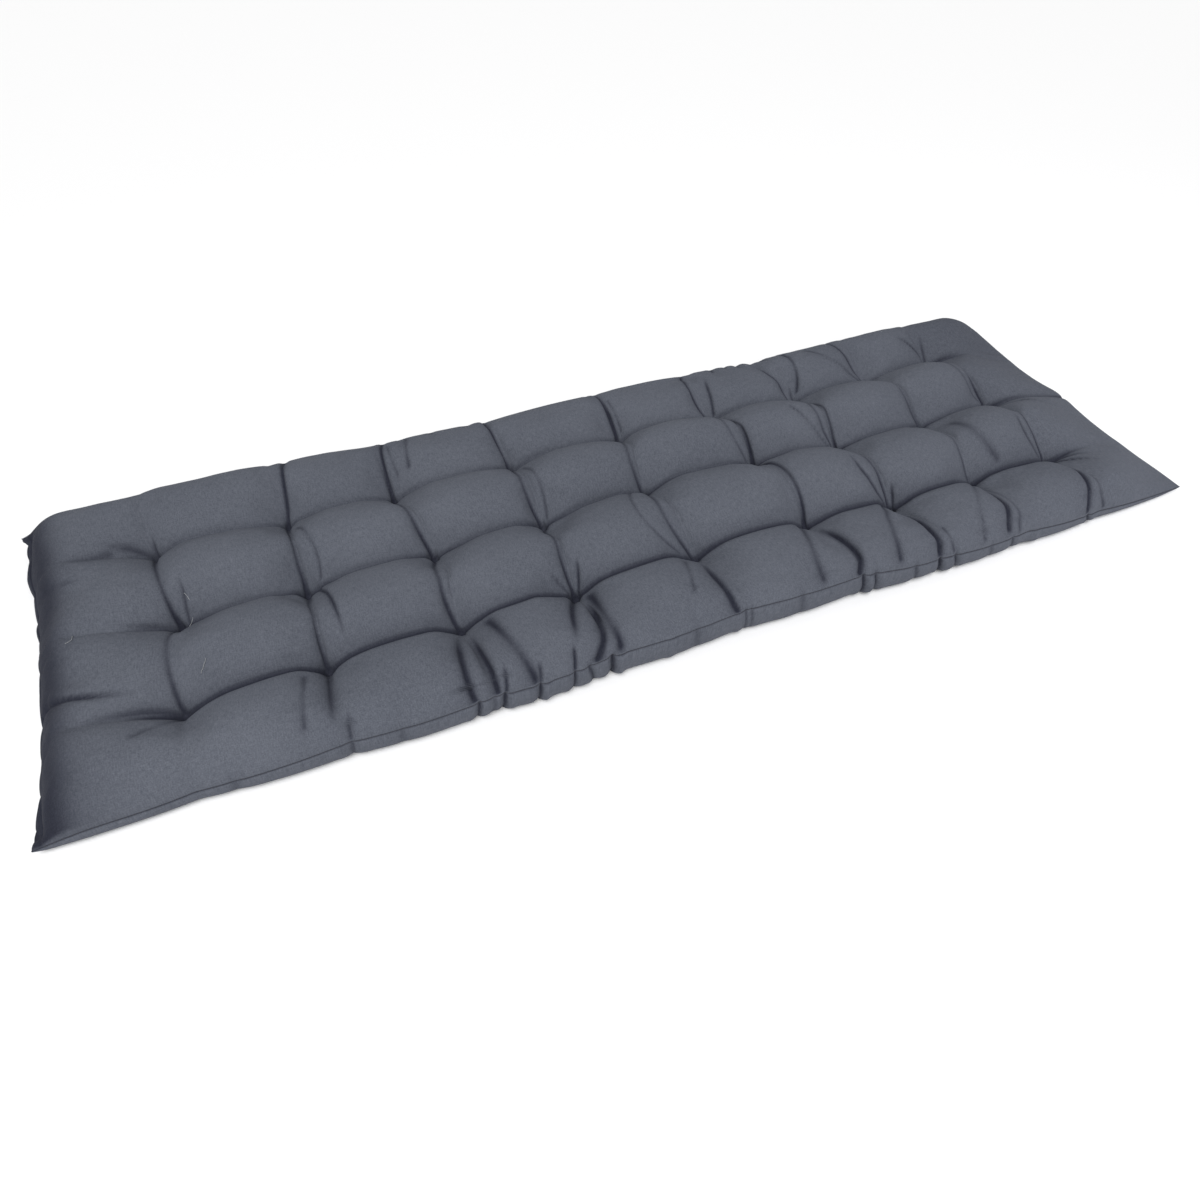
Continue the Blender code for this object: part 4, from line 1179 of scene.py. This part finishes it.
# ---- stage ------------------------------------------------------------------
def stage():
    scene = bpy.context.scene
    camera = bpy.data.cameras.new("camera")
    camera.sensor_width = 36.0
    camera.lens = CAMERA_LENS
    camera.clip_end = 50.0
    eye = bpy.data.objects.new("camera", camera)
    eye.location = CAMERA_PLACE
    eye.rotation_euler = CAMERA_TURN
    scene.collection.objects.link(eye)
    scene.camera = eye

    mesh = bpy.data.meshes.new("floor")
    half = 9.0
    mesh.from_pydata([(-half, -half, 0), (half, -half, 0), (half, half, 0), (-half, half, 0)], [], [(0, 1, 2, 3)])
    floor = bpy.data.objects.new("floor", mesh)
    scene.collection.objects.link(floor)
    paint = bpy.data.materials.new("floor_paint")
    paint.use_nodes = True
    shader = paint.node_tree.nodes["Principled BSDF"]
    shader.inputs["Base Color"].default_value = (0.92, 0.92, 0.92, 1)
    shader.inputs["Roughness"].default_value = 0.9
    floor.data.materials.append(paint)

    for sun in SUNS:
        light = bpy.data.lights.new(sun.name, "SUN")
        light.angle = sun.soft
        light.energy = sun.power
        o = bpy.data.objects.new(sun.name, light)
        o.location = (2 * sun.x, 2 * sun.y, 2 * sun.z)
        o.rotation_euler = (-Vector(o.location)).to_track_quat("-Z", "Y").to_euler()
        scene.collection.objects.link(o)
    for box in BOXES:
        light = bpy.data.lights.new(box.name, "AREA")
        light.size = box.size
        light.energy = box.power
        light.color = (box.red, box.green, box.blue)
        o = bpy.data.objects.new(box.name, light)
        o.location = (box.x, box.y, box.z)
        aim = Vector((box.aim_x, box.aim_y, 0.0)) - o.location
        o.rotation_euler = aim.to_track_quat("-Z", "Y").to_euler()
        scene.collection.objects.link(o)
    world = bpy.data.worlds.new("world")
    world.use_nodes = True
    world.node_tree.nodes["Background"].inputs["Color"].default_value = (1, 1, 1, 1)
    world.node_tree.nodes["Background"].inputs["Strength"].default_value = WORLD
    scene.world = world
    scene.view_settings.view_transform = "Standard"


def main():
    stage()
    cover, upper, rows, p = build_cover()
    cover.data.materials.append(cloth_material())
    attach(cover, "root")
    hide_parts("cushion")
    dark = thread_material("dark_thread", (0.012, 0.013, 0.018, 1.0), (0.030, 0.033, 0.045, 1.0))
    pale = thread_material("pale_thread", (0.20, 0.21, 0.22, 1.0), (0.34, 0.35, 0.36, 1.0))
    for o, thread in ((seam_stitches(upper), dark), (tuft_threads(upper, rows, p), dark), (loose_threads(upper, rows, p), pale)):
        o.data.materials.append(thread)
        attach(o, "root")


main()
